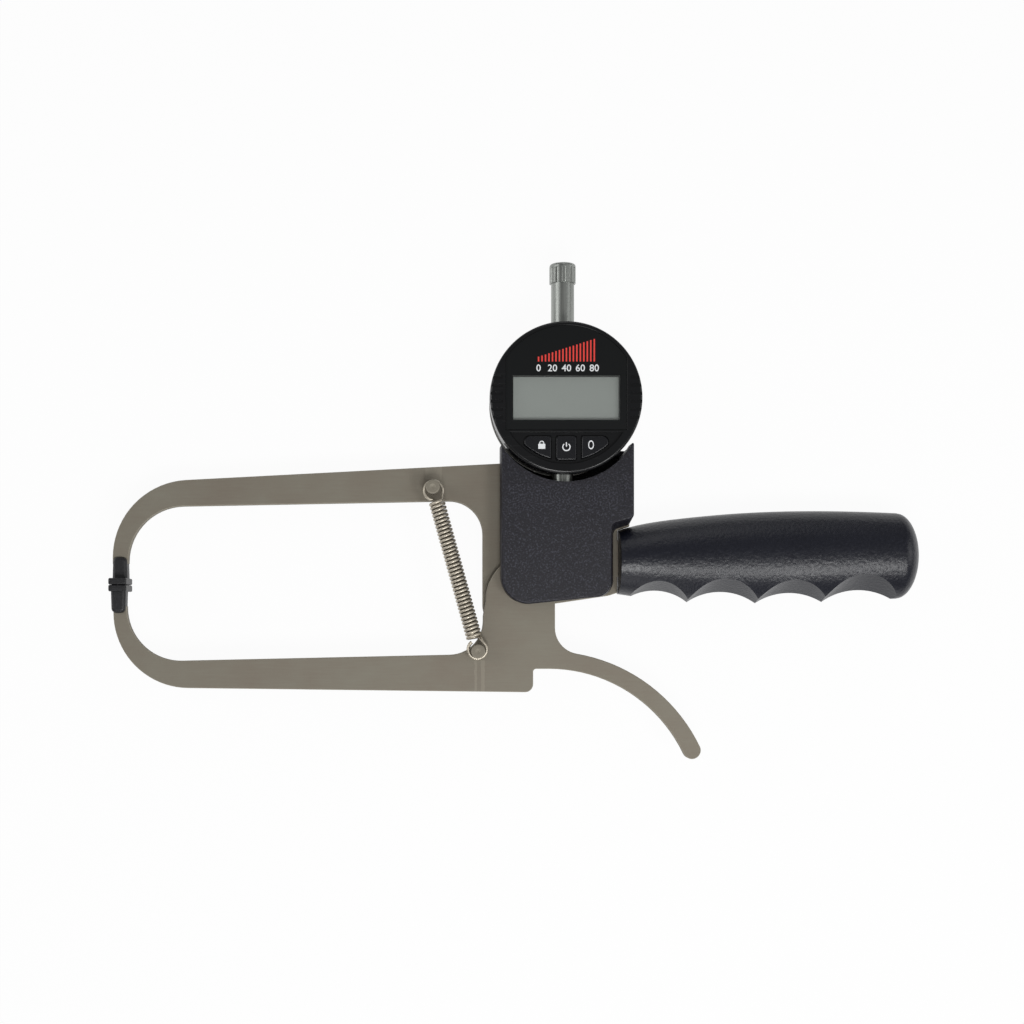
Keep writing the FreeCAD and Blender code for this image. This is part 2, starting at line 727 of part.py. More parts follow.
def housing_shell(z_closed, inset, flare, scoop_end_z):
    """Thin-walled cover from the frame's middle plane to z_closed.

    It is scooped out for the indicator from the middle plane to scoop_end_z.
    """
    inner_z = z_closed - math.copysign(housing_wall, z_closed)
    span = sorted((0, inner_z))
    body = housing_body(z_closed, inset, flare)
    wall_span = sorted((0, scoop_end_z - math.copysign(housing_wall, z_closed)))
    wall = post(cradle_x, cradle_y, *wall_span, cradle_radius + housing_wall)
    wall = wall.common(prism(housing_outline(inset), *wall_span))
    shell = union(body.cut(prism(housing_outline(inset + housing_wall), *span)), wall)
    scoop = post(cradle_x, cradle_y, *sorted((0, scoop_end_z)), cradle_radius)
    return without(shell, scoop, plate_pocket()), inner_z


def housing_front():
    shell, inner_z = housing_shell(housing_front_z, 0, housing_flare, housing_front_z)
    bosses = [post(x, y, frame_front_z, inner_z, boss_radius) for x, y in housing_screws_at]
    pilots = [post(x, y, frame_front_z, inner_z - 0.8, screw_pilot) for x, y in housing_screws_at]
    lever_clear = lever_front_z + 0.5
    swing = block(housing_left_x - 1, housing_lower_right_x - 9.4, housing_bottom_y - 4, 6.5,
                  0, lever_clear)
    keep = prism(housing_outline(housing_wall), 0, lever_clear)
    stem_slot = block(spindle_x - stem_radius - 0.4, spindle_x + stem_radius + 0.4,
                      stem_bottom_y, dial_y, 0, spindle_z + stem_radius + 0.4)
    label = block(housing_left_x + label_margin, housing_right_x - label_margin, label_low_y, label_high_y,
                  housing_front_z - label_depth, housing_front_z)
    shell = union(shell, *bosses)
    return one_solid(without(shell, swing.cut(keep), stem_slot, label, *pilots))


def housing_back():
    shell, inner_z = housing_shell(housing_back_z, back_inset, 0, back_cover_z - shelf_gap)
    bosses = [post(x, y, inner_z, frame_back_z, boss_radius) for x, y in housing_screws_at]
    seat_z = housing_screw_seat_z()
    holes = []
    for x, y in housing_screws_at:
        holes.append(post(x, y, housing_back_z, frame_back_z, screw_clear))
        holes.append(post(x, y, housing_back_z, seat_z, screw_seat_radius))
    assert bolt_end_z > inner_z, "the pivot bolt's end needs room in the back cover"
    return one_solid(without(union(shell, *bosses), *holes))


def housing_screw_seat_z():
    return housing_back_z + screw_head_height + 0.4


def pan_screw(x, y, seat_z, reach_z):
    """Screw driven towards +Z: head below seat_z, shank up to reach_z."""
    head = post(x, y, seat_z - screw_head_height, seat_z, screw_head_radius)
    head = head.makeChamfer(0.6, edges_at_z(head, seat_z - screw_head_height))
    cross = [block(x - 1.5, x + 1.5, y - 0.3, y + 0.3, seat_z - screw_head_height, seat_z - 0.9),
             block(x - 0.3, x + 0.3, y - 1.5, y + 1.5, seat_z - screw_head_height, seat_z - 0.9)]
    return one_solid(without(union(head, post(x, y, seat_z, reach_z, screw_radius)), *cross))


def housing_screws():
    seat_z = housing_screw_seat_z()
    return Part.makeCompound([pan_screw(x, y, seat_z, housing_inner_front_z - 1.5)
                              for x, y in housing_screws_at])


# ---- handle ----------------------------------------------------------------------------
def oval(x, low, high, half_depth):
    """Elliptical section in the plane at x."""
    half_height = (high - low) / 2
    ellipse = Part.Ellipse(V(0, 0, 0), max(half_height, half_depth), min(half_height, half_depth))
    edge = ellipse.toShape()
    upright = FreeCAD.Rotation(V(0, 1, 0), V(0, 0, 1), V(1, 0, 0), "ZXY")
    edge.Placement = FreeCAD.Placement(V(x, (low + high) / 2, 0), upright)
    return Part.Wire([edge])


def grip_body():
    sections = [oval(*section) for section in handle_sections]
    return Part.makeLoft(sections, True, False)


def grip_dome():
    x, low, high, half_depth = handle_sections[-1]
    scale = FreeCAD.Matrix()
    scale.scale(handle_dome, (high - low) / 2 - dome_step, half_depth - dome_step)
    dome = Part.makeSphere(1.0).transformGeometry(scale)
    dome.translate(V(x, (low + high) / 2, 0))
    return dome


def finger_cutter(x, deepest_y, radius, draft):
    """Tool for one finger groove: it rises and narrows from the middle plane to both sides."""
    side_radius = radius * groove_narrowing
    side_y = deepest_y + groove_reach * math.tan(math.radians(draft)) - side_radius
    halves = []
    for side in (-1, 1):
        wide = Part.makeCircle(radius, V(x, deepest_y - radius, 0))
        narrow = Part.makeCircle(side_radius, V(x, side_y, side * groove_reach))
        halves.append(Part.makeLoft([Part.Wire([wide]), Part.Wire([narrow])], True, True))
    return halves[0].fuse(halves[1])


def handle_grip():
    grip = union(grip_body(), grip_dome())
    grip = without(grip, *[finger_cutter(*groove) for groove in finger_grooves])
    slot = block(handle_start_x - 1, tang_end_x + pad_fit, tang_bottom_y - pad_fit, tang_top_y + pad_fit,
                 frame_back_z - pad_fit, frame_front_z + pad_fit)
    y = handle_mid_y()
    outside_z = -handle_half_depth() - 1
    holes = []
    for x in handle_screws_x:
        holes.append(post(x, y, outside_z, handle_screw_seat_z(), screw_seat_radius))
        holes.append(post(x, y, outside_z, frame_back_z, screw_clear))
        holes.append(post(x, y, frame_front_z, handle_screw_end_z + 0.5, screw_pilot))
    return one_solid(without(grip, slot, *holes))


def handle_half_depth():
    return max(section[3] for section in handle_sections)


def handle_screw_seat_z():
    return screw_head_height + 0.6 - handle_half_depth()


def handle_screws():
    y = handle_mid_y()
    return Part.makeCompound([pan_screw(x, y, handle_screw_seat_z(), handle_screw_end_z)
                              for x in handle_screws_x])


# ---- indicator's mounting --------------------------------------------------------------
def stem():
    top = dial_y - case_inner_radius
    outer = bar(spindle_x, spindle_z, stem_bottom_y, top, stem_radius)
    outer = outer.makeChamfer(0.4, [e for e in outer.Edges if abs(e.BoundBox.YMax - stem_bottom_y) < 1e-4])
    return one_solid(outer.cut(bar(spindle_x, spindle_z, stem_bottom_y, top, spindle_radius + running_fit)))


def stem_clamp():
    """Saddle screwed to the frame plate over the indicator's stem."""
    saddle = block(spindle_x - clamp_half_width, spindle_x + clamp_half_width,
                   clamp_bottom_y, clamp_top_y, frame_front_z, clamp_front_z)
    tops = [e for e in edges_at_z(saddle, clamp_front_z) if abs(e.tangentAt(e.FirstParameter).y) > 0.9]
    saddle = saddle.makeChamfer(2.0, tops)
    tools = [bar(spindle_x, spindle_z, clamp_bottom_y, clamp_top_y, stem_radius + seat_fit)]
    for side in (-1, 1):
        tools.append(post(spindle_x + side * clamp_screw_x, clamp_mid_y(), frame_front_z, clamp_front_z,
                          clamp_screw_radius + seat_fit))
    return one_solid(without(saddle, *tools))


def clamp_screws():
    screws = []
    seat_z = clamp_front_z - 2.0
    for side in (-1, 1):
        x = spindle_x + side * clamp_screw_x
        screws.append(post(x, clamp_mid_y(), frame_back_z, seat_z, clamp_screw_radius))
    return Part.makeCompound(screws)


# ---- indicator's case and display ------------------------------------------------------
def on_dial(shape):
    shape.translate(V(spindle_x, dial_y, 0))
    return shape


def cover_screw_spots():
    angles = [math.radians(45 + 90 * i) for i in range(4)]
    return [(cover_screw_circle * math.cos(a), cover_screw_circle * math.sin(a)) for a in angles]


def indicator_case():
    case = post(0, 0, case_back_z, bezel_back_z, case_radius)
    case = case.makeChamfer(0.5, edges_at_z(case, case_back_z))
    case = without(case, post(0, 0, case_back_z, board_z, case_inner_radius),
                   post(0, 0, board_z, bezel_back_z, bezel_inner_radius))
    bosses = [post(x, y, case_back_z, 3.0, 2.3) for x, y in cover_screw_spots()]
    room = post(0, 0, case_back_z, 3.0, case_radius - 0.5)
    pilots = [post(x, y, case_back_z, 1.5, cover_screw_radius + seat_fit) for x, y in cover_screw_spots()]
    case = union(case, *[b.common(room) for b in bosses])
    outside = case_radius + 1
    holes = [bar(0, spindle_z, -outside, 0, stem_radius + seat_fit),
             bar(0, spindle_z, 0, outside, sleeve_radius + seat_fit)]
    rod_end = guide_rod_reach() + seat_fit
    holes.append(bar(guide_rod_x, spindle_z, -rod_end, rod_end, guide_rod_radius + seat_fit))
    return on_dial(one_solid(without(case, *holes, *pilots)))


def indicator_back_cover():
    disc = post(0, 0, back_cover_z, case_back_z, back_cover_radius)
    disc = disc.makeChamfer(0.6, edges_at_z(disc, back_cover_z))
    holes = [post(cell_x, cell_y, back_cover_z, case_back_z, battery_cover_radius)]
    for x, y in cover_screw_spots():
        holes.append(post(x, y, back_cover_z, case_back_z, cover_screw_radius + 0.1))
        holes.append(post(x, y, back_cover_z, back_cover_z + cover_screw_sink, cover_screw_head + 0.1))
    return on_dial(one_solid(without(disc, *holes)))


def back_cover_screws():
    screws = []
    for x, y in cover_screw_spots():
        head = post(x, y, back_cover_z, back_cover_z + cover_screw_sink, cover_screw_head)
        shank = post(x, y, back_cover_z + cover_screw_sink, 1.0, cover_screw_radius)
        slot = block(x - cover_screw_head, x + cover_screw_head, y - 0.2, y + 0.2,
                     back_cover_z, back_cover_z + 0.35)
        screws.append(one_solid(union(head, shank).cut(slot)))
    return on_dial(Part.makeCompound(screws))


def battery_cover():
    cap = post(cell_x, cell_y, back_cover_z, case_back_z, battery_cover_radius - seat_fit)
    coin_slot = block(cell_x - 4, cell_x + 4, cell_y - 0.6, cell_y + 0.6, back_cover_z, back_cover_z + 0.7)
    return on_dial(one_solid(cap.cut(coin_slot)))


def coin_cell():
    cell = post(cell_x, cell_y, case_back_z, case_back_z + cell_height, cell_radius)
    return on_dial(cell.makeChamfer(0.4, edges_at_z(cell, case_back_z)))


def face_area(z0, z1, shrink):
    """The part of the front above the keys, cut straight at both sides."""
    half = face_half_width - shrink
    bar_area = block(-half, half, key_panel_top + shrink, face_radius, z0, z1)
    return post(0, 0, z0, z1, face_radius - shrink).common(bar_area)


def key_panel_area(z0, z1):
    below = block(-key_panel_radius, key_panel_radius, -key_panel_radius,
                  key_panel_top - key_panel_strip, z0, z1)
    return post(0, 0, z0, z1, key_panel_radius).common(below)


def window_area(z0, z1, grow):
    half_w = window_width / 2 + grow
    half_h = window_height / 2 + grow
    return block(-half_w, half_w, window_y - half_h, window_y + half_h, z0, z1)


def key_outline(which, grow):
    """Outline prisms of the three keys: 0 in the middle, -1 and 1 at the sides."""
    z0, z1 = key_foot_z, bezel_front_z
    top = key_top_y + grow
    if which == 0:
        half = key_middle_width / 2 + grow
        low = key_middle_bottom_y - grow
        return prism([(-half, low, 0.9), (half, low, 0.9), (half, top, 0.9), (-half, top, 0.9)], z0, z1)
    inner = key_middle_width / 2 + key_spacing - grow
    outer = key_outer_x + grow
    low = -key_arc_radius - 1
    corners = [(inner, low, 0), (outer, low, 0), (outer, top, 2.2), (inner, top, 0.6)]
    shape = prism(corners, z0, z1).common(post(0, 0, z0, z1, key_arc_radius + grow))
    if which < 0:
        shape = shape.mirror(V(0, 0, 0), V(1, 0, 0))
    return shape


def between(shape, z0, z1):
    box = shape.BoundBox
    return shape.common(block(box.XMin - 1, box.XMax + 1, box.YMin - 1, box.YMax + 1, z0, z1))


def indicator_key(which):
    """Key cap with a flange behind the front wall that keeps it in."""
    top_z = key_floor_z + key_proud
    cap = between(key_outline(which, 0), key_foot_z, top_z)
    cap = cap.makeFillet(key_edge_round, edges_at_z(cap, top_z))
    flange = between(key_outline(which, key_flange), key_foot_z, bezel_wall_back_z - 0.2)
    return on_dial(one_solid(union(cap, flange)))


def rib_grooves():
    grooves = []
    first = -(rib_count - 1) / 2 * rib_pitch
    for i in range(rib_count):
        y = first + i * rib_pitch
        for side in (-1, 1):
            x0, x1 = sorted((side * (face_half_width + 1.2), side * (bezel_radius + 1)))
            grooves.append(block(x0, x1, y - rib_groove / 2, y + rib_groove / 2,
                                 bezel_front_z - rib_depth, bezel_front_z))
    return grooves


def indicator_bezel():
    cup = post(0, 0, bezel_back_z, bezel_front_z, bezel_radius)
    cup = cup.makeFillet(bezel_edge_round, edges_at_z(cup, bezel_front_z))
    cup = without(cup, face_area(face_floor_z, bezel_front_z, 0), key_panel_area(key_floor_z, bezel_front_z))
    rims = [e for e in edges_at_z(cup, bezel_front_z) if e.BoundBox.XMax < face_radius]
    cup = cup.makeChamfer(recess_edge_break, rims)
    cuts = [
        post(0, 0, bezel_back_z, bezel_wall_back_z, bezel_inner_radius),
        window_area(face_floor_z - window_seat, face_floor_z, 0),
        window_area(bezel_wall_back_z, face_floor_z, -window_ledge),
    ]
    cuts += [key_outline(which, key_clearance) for which in (-1, 0, 1)]
    return on_dial(one_solid(without(cup, *cuts, *rib_grooves())))


def face_panel():
    sheet = face_area(face_floor_z, face_floor_z + face_thickness, 0.1)
    return on_dial(one_solid(sheet.cut(window_area(face_floor_z, bezel_front_z, 0))))


def display_window():
    z0 = face_floor_z - window_seat
    lens = window_area(z0, z0 + lens_thickness, -0.05)
    return on_dial(lens.makeChamfer(0.2, edges_at_z(lens, z0 + lens_thickness)))


def lcd_panel():
    return on_dial(block(-lcd_width / 2, lcd_width / 2, window_y - lcd_height / 2, window_y + lcd_height / 2,
                         lcd_back_z, lcd_back_z + lcd_thickness))


def contact_strips():
    """Two elastomer strips that join the display's edges to the board."""
    reach = lcd_width / 2 - 1
    strips = []
    for side in (-1, 1):
        y = window_y + side * (lcd_height / 2 - 1.5)
        strips.append(block(-reach, reach, y - 0.8, y + 0.8, board_front_z, lcd_back_z))
    return on_dial(Part.makeCompound(strips))


def circuit_board():
    return on_dial(post(0, 0, board_z, board_front_z, bezel_inner_radius - 0.3))


def key_membrane():
    """Rubber sheet on the board with one dome under each key."""
    z1 = board_front_z + 1.0
    sheet = key_panel_area(board_front_z, z1)
    domes = []
    aside = (key_middle_width / 2 + key_spacing + key_outer_x) / 2
    for x in (-aside, 0.0, aside):
        domes.append(Part.makeCone(2.4, 1.7, key_foot_z - key_travel - 0.1 - z1, V(x, dome_y, z1)))
    return on_dial(one_solid(union(sheet, *domes)))


# ---- spindle and its guides ------------------------------------------------------------
def spindle():
    rod_body = bar(spindle_x, spindle_z, spindle_bottom_y, spindle_bottom_y + spindle_length, spindle_radius)
    return rod_body.makeChamfer(0.4, [e for e in rod_body.Edges if e.BoundBox.YMin > spindle_bottom_y + 1
                                      and e.BoundBox.YLength < 1e-4])


def contact_point():
    """Screw-in point: ball tip on a short shank with a flange against the spindle."""
    ball = Part.makeSphere(ball_radius, V(spindle_x, contact_tip_y + ball_radius, spindle_z))
    shank = bar(spindle_x, spindle_z, contact_tip_y + ball_radius, spindle_bottom_y, contact_shank_radius)
    flange = bar(spindle_x, spindle_z, spindle_bottom_y - 1.5, spindle_bottom_y, contact_flange_radius)
    return one_solid(union(ball, shank, flange))


def scale_carrier():
    """Block clamped on the spindle that holds the scale and runs on the guide rod."""
    half = carrier_width / 2
    body = block(-half, half, -carrier_height / 2, carrier_height / 2, spindle_z - 3.6, scale_z)
    ear = block(guide_rod_x - 2.2, -half + 0.5, -2.0, 2.0, spindle_z - 2.2, spindle_z + 2.2)
    hook = block(half - 0.5, return_spring_x + 1.6, -carrier_height / 2, -carrier_height / 2 + 2.0,
                 spindle_z - 1.6, spindle_z + 1.6)
    tools = [bar(0, spindle_z, -carrier_height, carrier_height, spindle_radius + seat_fit),
             bar(guide_rod_x, spindle_z, -carrier_height, carrier_height, guide_rod_radius + running_fit)]
    return on_dial(one_solid(without(union(body, ear, hook), *tools)))


def encoder_scale():
    half = carrier_width / 2 - 1
    return on_dial(block(-half, half, -scale_length / 2, scale_length / 2,
                         scale_z, scale_z + scale_thickness))


def guide_rod_reach():
    """The rod's ends sit in blind holes in the case wall."""
    return math.sqrt(case_inner_radius**2 - guide_rod_x**2) + 1.2


def guide_rod():
    reach = guide_rod_reach()
    return on_dial(bar(guide_rod_x, spindle_z, -reach, reach, guide_rod_radius))


def spindle_spring():
    """Light spring that keeps the spindle's point on the cam."""
    top = -carrier_height / 2
    y0 = -math.sqrt(case_inner_radius**2 - (return_spring_x + 1.2)**2) + 0.1
    outer = bar(return_spring_x, spindle_z, y0, top, 1.2)
    return on_dial(one_solid(outer.cut(bar(return_spring_x, spindle_z, y0, top, 0.8))))


def spindle_sleeve():
    """Tube that guides and covers the spindle's upper end."""
    foot = case_inner_radius - 1.0
    guide_top = bezel_radius + 3.0
    tube = union(bar(0, spindle_z, foot, sleeve_top_y, sleeve_radius),
                 bar(0, spindle_z, sleeve_top_y, spigot_top_y, spigot_radius))
    tools = [bar(0, spindle_z, foot, guide_top, spindle_radius + running_fit),
             bar(0, spindle_z, guide_top, spigot_top_y, sleeve_bore)]
    return on_dial(one_solid(without(tube, *tools)))


def sleeve_cap():
    """Fluted screw cap."""
    y0, y1 = sleeve_top_y, sleeve_top_y + cap_height
    cap = bar(0, spindle_z, y0, y1, cap_radius)
    cap = cap.makeFillet(1.0, [e for e in cap.Edges if e.BoundBox.YMin > y1 - 1e-3])
    away = cap_radius + cap_flute_radius - cap_flute_depth
    flutes = []
    for i in range(cap_flutes):
        a = 2 * math.pi * i / cap_flutes
        flutes.append(bar(away * math.sin(a), spindle_z + away * math.cos(a),
                          y0, y1 - cap_rim, cap_flute_radius))
    spigot = bar(0, spindle_z, y0, spigot_top_y, spigot_radius + seat_fit)
    room = bar(0, spindle_z, y0, y1 - 1.0, sleeve_bore)
    return on_dial(one_solid(without(cap, spigot, room, *flutes)))


# ---- assembly --------------------------------------------------------------------------
nodes = {
    "upper_frame_plate": frame_plate(),
    "lower_lever_plate": lever_plate(),
    "upper_jaw_pad": jaw_pad(upper_face_y, 1, frame_back_z),
    "lower_jaw_pad": jaw_pad(lower_face_y, -1, lever_back_z),
    "pivot_bolt": pivot_bolt(),
    "pivot_nut": pivot_nut(),
    "pivot_bush": pivot_bush(),
    "pivot_shim": pivot_shim(),
    "pivot_front_washer": front_washer(),
    "pivot_back_washer": back_washer(),
    "upper_spring_pin": spring_pin(upper_pin_at, frame_front_z),
    "lower_spring_pin": spring_pin(lower_pin_at, lever_front_z),
    "closing_spring": closing_spring(),
    "spring_lower_hook": spring_lower_hook(),
    "housing_front": housing_front(),
    "housing_back": housing_back(),
    "housing_screws": housing_screws(),
    "handle_grip": handle_grip(),
    "handle_screws": handle_screws(),
    "indicator_stem": stem(),
    "stem_clamp": stem_clamp(),
    "stem_clamp_screws": clamp_screws(),
    "indicator_case": indicator_case(),
    "indicator_back_cover": indicator_back_cover(),
    "back_cover_screws": back_cover_screws(),
    "battery_cover": battery_cover(),
    "coin_cell": coin_cell(),
    "indicator_bezel": indicator_bezel(),
    "face_panel": face_panel(),
    "display_window": display_window(),
    "lcd_panel": lcd_panel(),
    "display_contact_strips": contact_strips(),
    "circuit_board": circuit_board(),
    "key_membrane": key_membrane(),
    "hold_key": indicator_key(-1),
    "power_key": indicator_key(0),
    "zero_key": indicator_key(1),
    "spindle": spindle(),
    "contact_point": contact_point(),
    "scale_carrier": scale_carrier(),
    "encoder_scale": encoder_scale(),
    "guide_rod": guide_rod(),
    "spindle_spring": spindle_spring(),
    "spindle_sleeve": spindle_sleeve(),
    "sleeve_cap": sleeve_cap(),
}


def bottom_centre():
    box = Part.makeCompound(list(nodes.values())).optimalBoundingBox()
    return V((box.XMin + box.XMax) / 2, (box.YMin + box.YMax) / 2, box.ZMin)


origin = bottom_centre()
os.makedirs("parts", exist_ok=True)
for name, shape in nodes.items():
    shape.translate(origin * -1)
    shape.exportStep(f"parts/{name}.step")
axis, span = spring_direction()
print("origin in working datum", origin)
print("hinge axis", origin * -1)
print("spring direction", axis / span)
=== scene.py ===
"""Looks of a digital skinfold caliper, laid out as a Blender add-on and run as a script.

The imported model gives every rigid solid. The operators below wind the closing spring, print
the dial and its keys, give each solid its finish and set up the stage. Lengths are in metres.
"""

import math

import bmesh
import bpy
from bpy.props import FloatProperty, FloatVectorProperty, IntProperty, PointerProperty
from mathutils import Matrix, Vector


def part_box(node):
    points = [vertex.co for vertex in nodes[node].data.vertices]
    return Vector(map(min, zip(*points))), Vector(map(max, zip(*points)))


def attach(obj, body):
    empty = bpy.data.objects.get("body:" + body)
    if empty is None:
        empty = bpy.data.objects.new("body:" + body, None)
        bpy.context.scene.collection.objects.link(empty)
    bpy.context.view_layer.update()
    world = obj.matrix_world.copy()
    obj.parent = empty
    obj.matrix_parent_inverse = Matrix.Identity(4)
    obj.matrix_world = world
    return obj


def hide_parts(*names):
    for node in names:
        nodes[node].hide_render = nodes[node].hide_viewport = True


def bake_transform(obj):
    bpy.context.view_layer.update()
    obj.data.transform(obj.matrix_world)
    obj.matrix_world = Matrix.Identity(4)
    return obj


bl_info = {
    "name": "Skinfold Caliper Looks",
    "version": (1, 0, 0),
    "blender": (4, 5, 0),
    "location": "View3D > Sidebar > Caliper",
    "description": "Winds the spring, prints the dial and gives a skinfold caliper its finishes",
    "category": "Object",
}

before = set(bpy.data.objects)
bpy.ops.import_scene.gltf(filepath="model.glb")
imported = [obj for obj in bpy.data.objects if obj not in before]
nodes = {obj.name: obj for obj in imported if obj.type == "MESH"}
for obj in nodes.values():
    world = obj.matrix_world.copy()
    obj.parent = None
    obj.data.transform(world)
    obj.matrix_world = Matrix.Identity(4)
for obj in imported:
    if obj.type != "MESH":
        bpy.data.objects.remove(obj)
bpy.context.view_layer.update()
MM = 0.001
OUTWARD = "outward"            # mesh attribute of the wound spring, which its finish uses to paint shade between the turns

# Lower left and upper right corner of each place on the arms' plates lightened as a painted
# reflection of the spring pins.
PIN_REFLECTION_PLACES = (
    ((-0.0343, 0.0125), (-0.0278, 0.0180)),
    ((-0.0155, -0.0690), (-0.0145, -0.0569)),
    ((-0.0130, -0.0690), (-0.0116, -0.0569)),
)
SCUFFED_PLACE = ((-0.003, 0.0), (0.0385, 0.010))      # corners of the housing's scuffed place
DUST_TINT = Vector((0.036, 0.038, 0.05))              # what pale specks add to a plastic's colour

# Name, place, side of the square and share of the lamps' power.
LAMPS = (
    ("lamp_near_left", (0.0, -0.28, 0.62), 0.2, 1.3),
    ("lamp_near_right", (0.30, -0.26, 0.55), 0.2, 0.9),
    ("lamp_left", (-0.85, 0.15, 0.50), 0.5, 1.6),
    ("lamp_right", (0.85, 0.05, 0.50), 0.5, 1.0),
    ("lamp_back", (0.05, 0.85, 0.50), 0.5, 0.5),
    ("lamp_front", (-0.10, -0.85, 0.40), 0.5, 0.8),
)
LAMP_TARGET = Vector((0, 0, 0.02))
FLOOR_GLOW = 0.95              # how much of the floor is plain white to the camera

FIGURE_STEP = 20               # the numbers on the dial go up by this
FIGURE_COUNT = 5
LETTER_SIZE = 1.4              # size of the lettering for a figure of height 1
LETTER_WEIGHT = 0.012          # how much the lettering's outline is widened, for height 1

PLAIN_UPPER_RUN = 7.5 * MM     # from the upper pin to the first turn whose inner side gets painted shade
PLAIN_LOWER_RUN = 7.0 * MM     # the same at the lower pin
TURN_STEPS = 20                # points along each turn of the spring
BEND_STEPS = 10                # points along the bend from a loop to the coil
BEND_FULLNESS = 0.9            # 0 gives a sharp bend, and more gives a rounder one
LOOP_STEPS = 36                # points along an end loop
LOOP_START = -22.0             # degrees at which an end loop's wire begins
LOOP_SWEEP = -278.0            # degrees through which it bends
LOOP_TO_COIL = 0.65            # from a loop's far side to the coil, in wire diameters
COIL_TRIM = 40.0               # degrees left out of the first and the last turn


def middle(node):
    """Middle of a node's box."""
    low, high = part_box(node)
    return (low + high) / 2


def linear(red, green, blue):
    """A colour given in 0 to 255 display values, as linear values."""
    shares = (red / 255, green / 255, blue / 255)
    return tuple(s / 12.92 if s <= 0.04045 else ((s + 0.055) / 1.055) ** 2.4 for s in shares)


# ---- shader graphs ---------------------------------------------------------------------
class Wire:
    """An output socket in a finish. Arithmetic on it adds Math nodes."""

    def __init__(self, finish, socket):
        self.finish = finish
        self.socket = socket

    def __add__(self, other):
        return self.finish.maths("ADD", self, other)

    __radd__ = __add__

    def __sub__(self, other):
        return self.finish.maths("SUBTRACT", self, other)

    def __rsub__(self, other):
        return self.finish.maths("SUBTRACT", other, self)

    def __mul__(self, other):
        return self.finish.maths("MULTIPLY", self, other)

    __rmul__ = __mul__

    def __truediv__(self, other):
        return self.finish.maths("DIVIDE", self, other)


class Finish:
    """A material and the few ways in which its nodes are added."""

    def __init__(self, name):
        self.material = bpy.data.materials.new(name)
        self.material.use_nodes = True
        self.tree = self.material.node_tree
        self.tree.nodes.clear()

    def node(self, kind, settings=None, inputs=None, output=0):
        """Adds a node, sets its settings, then its inputs, and returns one of its outputs."""
        made = self.tree.nodes.new(kind)
        for name, value in (settings or {}).items():
            if name == "stops":
                set_stops(made.color_ramp, value)
            else:
                setattr(made, name, value)
        for name, value in (inputs or {}).items():
            socket = find_socket(made.inputs, name)
            if isinstance(value, Wire):
                self.tree.links.new(value.socket, socket)
            else:
                socket.default_value = value
        return Wire(self, find_socket(made.outputs, output))

    def maths(self, operation, first, second):
        """A Math node on two values."""
        return self.node("ShaderNodeMath", {"operation": operation}, {0: first, 1: second})

    def place(self, stretch=(1, 1, 1), turn=(0, 0, 0)):
        """Object coordinates, stretched and turned."""
        here = self.node("ShaderNodeTexCoord", output="Object")
        values = {"Vector": here, "Scale": stretch, "Rotation": turn}
        return self.node("ShaderNodeMapping", {}, values)

    def noise(self, size, detail=2.0, roughness=0.5, stretch=(1, 1, 1), turn=(0, 0, 0)):
        """Noise from 0 to 1 whose blobs are about `size` metres across."""
        values = {
            "Vector": self.place(stretch, turn),
            "Scale": 1 / size,
            "Detail": detail,
            "Roughness": roughness,
        }
        return self.node("ShaderNodeTexNoise", {}, values, "Fac")

    def upward(self):
        """How far a face looks to the front: 1 if flat, 0.7 on an edge break, 0 on a wall."""
        facing = self.node("ShaderNodeTexCoord", output="Normal")
        return self.node("ShaderNodeSeparateXYZ", {}, {0: facing}, "Z")

    def patch(self, low, high):
        """1 inside an upright rectangle with ragged edges, else 0."""
        here = self.place()
        inside = 1.0
        for axis, (start, end) in zip("XY", zip(low, high)):
            along = self.node("ShaderNodeSeparateXYZ", {}, {0: here}, axis)
            ragged = along + (self.noise(0.003) - 0.5) * 0.001
            inside = self.maths("GREATER_THAN", ragged, start) * inside
            inside = self.maths("LESS_THAN", ragged, end) * inside
        return inside

    def steps(self, value, stops):
        """A grey ramp of (position, brightness) stops."""
        colours = [(at, (grey, grey, grey, 1)) for at, grey in stops]
        return self.node("ShaderNodeValToRGB", {"stops": colours}, {"Fac": value}, "Color")

    def blend(self, share, first, second):
        """Mixes two colours."""
        values = {"Factor_Float": share, "A_Color": opaque(first), "B_Color": opaque(second)}
        return self.node("ShaderNodeMix", {"data_type": "RGBA"}, values, "Result_Color")

    def bump(self, height, depth, strength=1.0):
        """The normal of a relief whose full height is `depth` metres."""
        values = {"Height": height, "Distance": depth, "Strength": strength}
        return self.node("ShaderNodeBump", {}, values, "Normal")

    def surface(self, values):
        """Ends the finish in a Principled surface."""
        return self.end(self.node("ShaderNodeBsdfPrincipled", {}, values, "BSDF"))

    def end(self, shaded):
        """Ends the finish in a shader and returns the material."""
        out = self.tree.nodes.new("ShaderNodeOutputMaterial")
        self.tree.links.new(shaded.socket, out.inputs["Surface"])
        return self.material


def tinted(colour, red, green, blue):
    """A colour with each of its channels scaled."""
    return Vector((colour[0] * red, colour[1] * green, colour[2] * blue))


def opaque(colour):
    """A colour with its alpha, or a wire as it is."""
    return colour if isinstance(colour, Wire) else (*tuple(colour)[:3], 1.0)


def find_socket(sockets, name):
    """A socket by its identifier, else its name, else its place in the list."""
    if isinstance(name, int):
        return sockets[name]
    for socket in sockets:
        if socket.identifier == name:
            return socket
    return sockets[name]


def set_stops(ramp, stops):
    """Gives a colour ramp its stops."""
    while len(ramp.elements) < len(stops):
        ramp.elements.new(1.0)
    for element, (at, colour) in zip(ramp.elements, stops):
        element.position = at
        element.color = colour


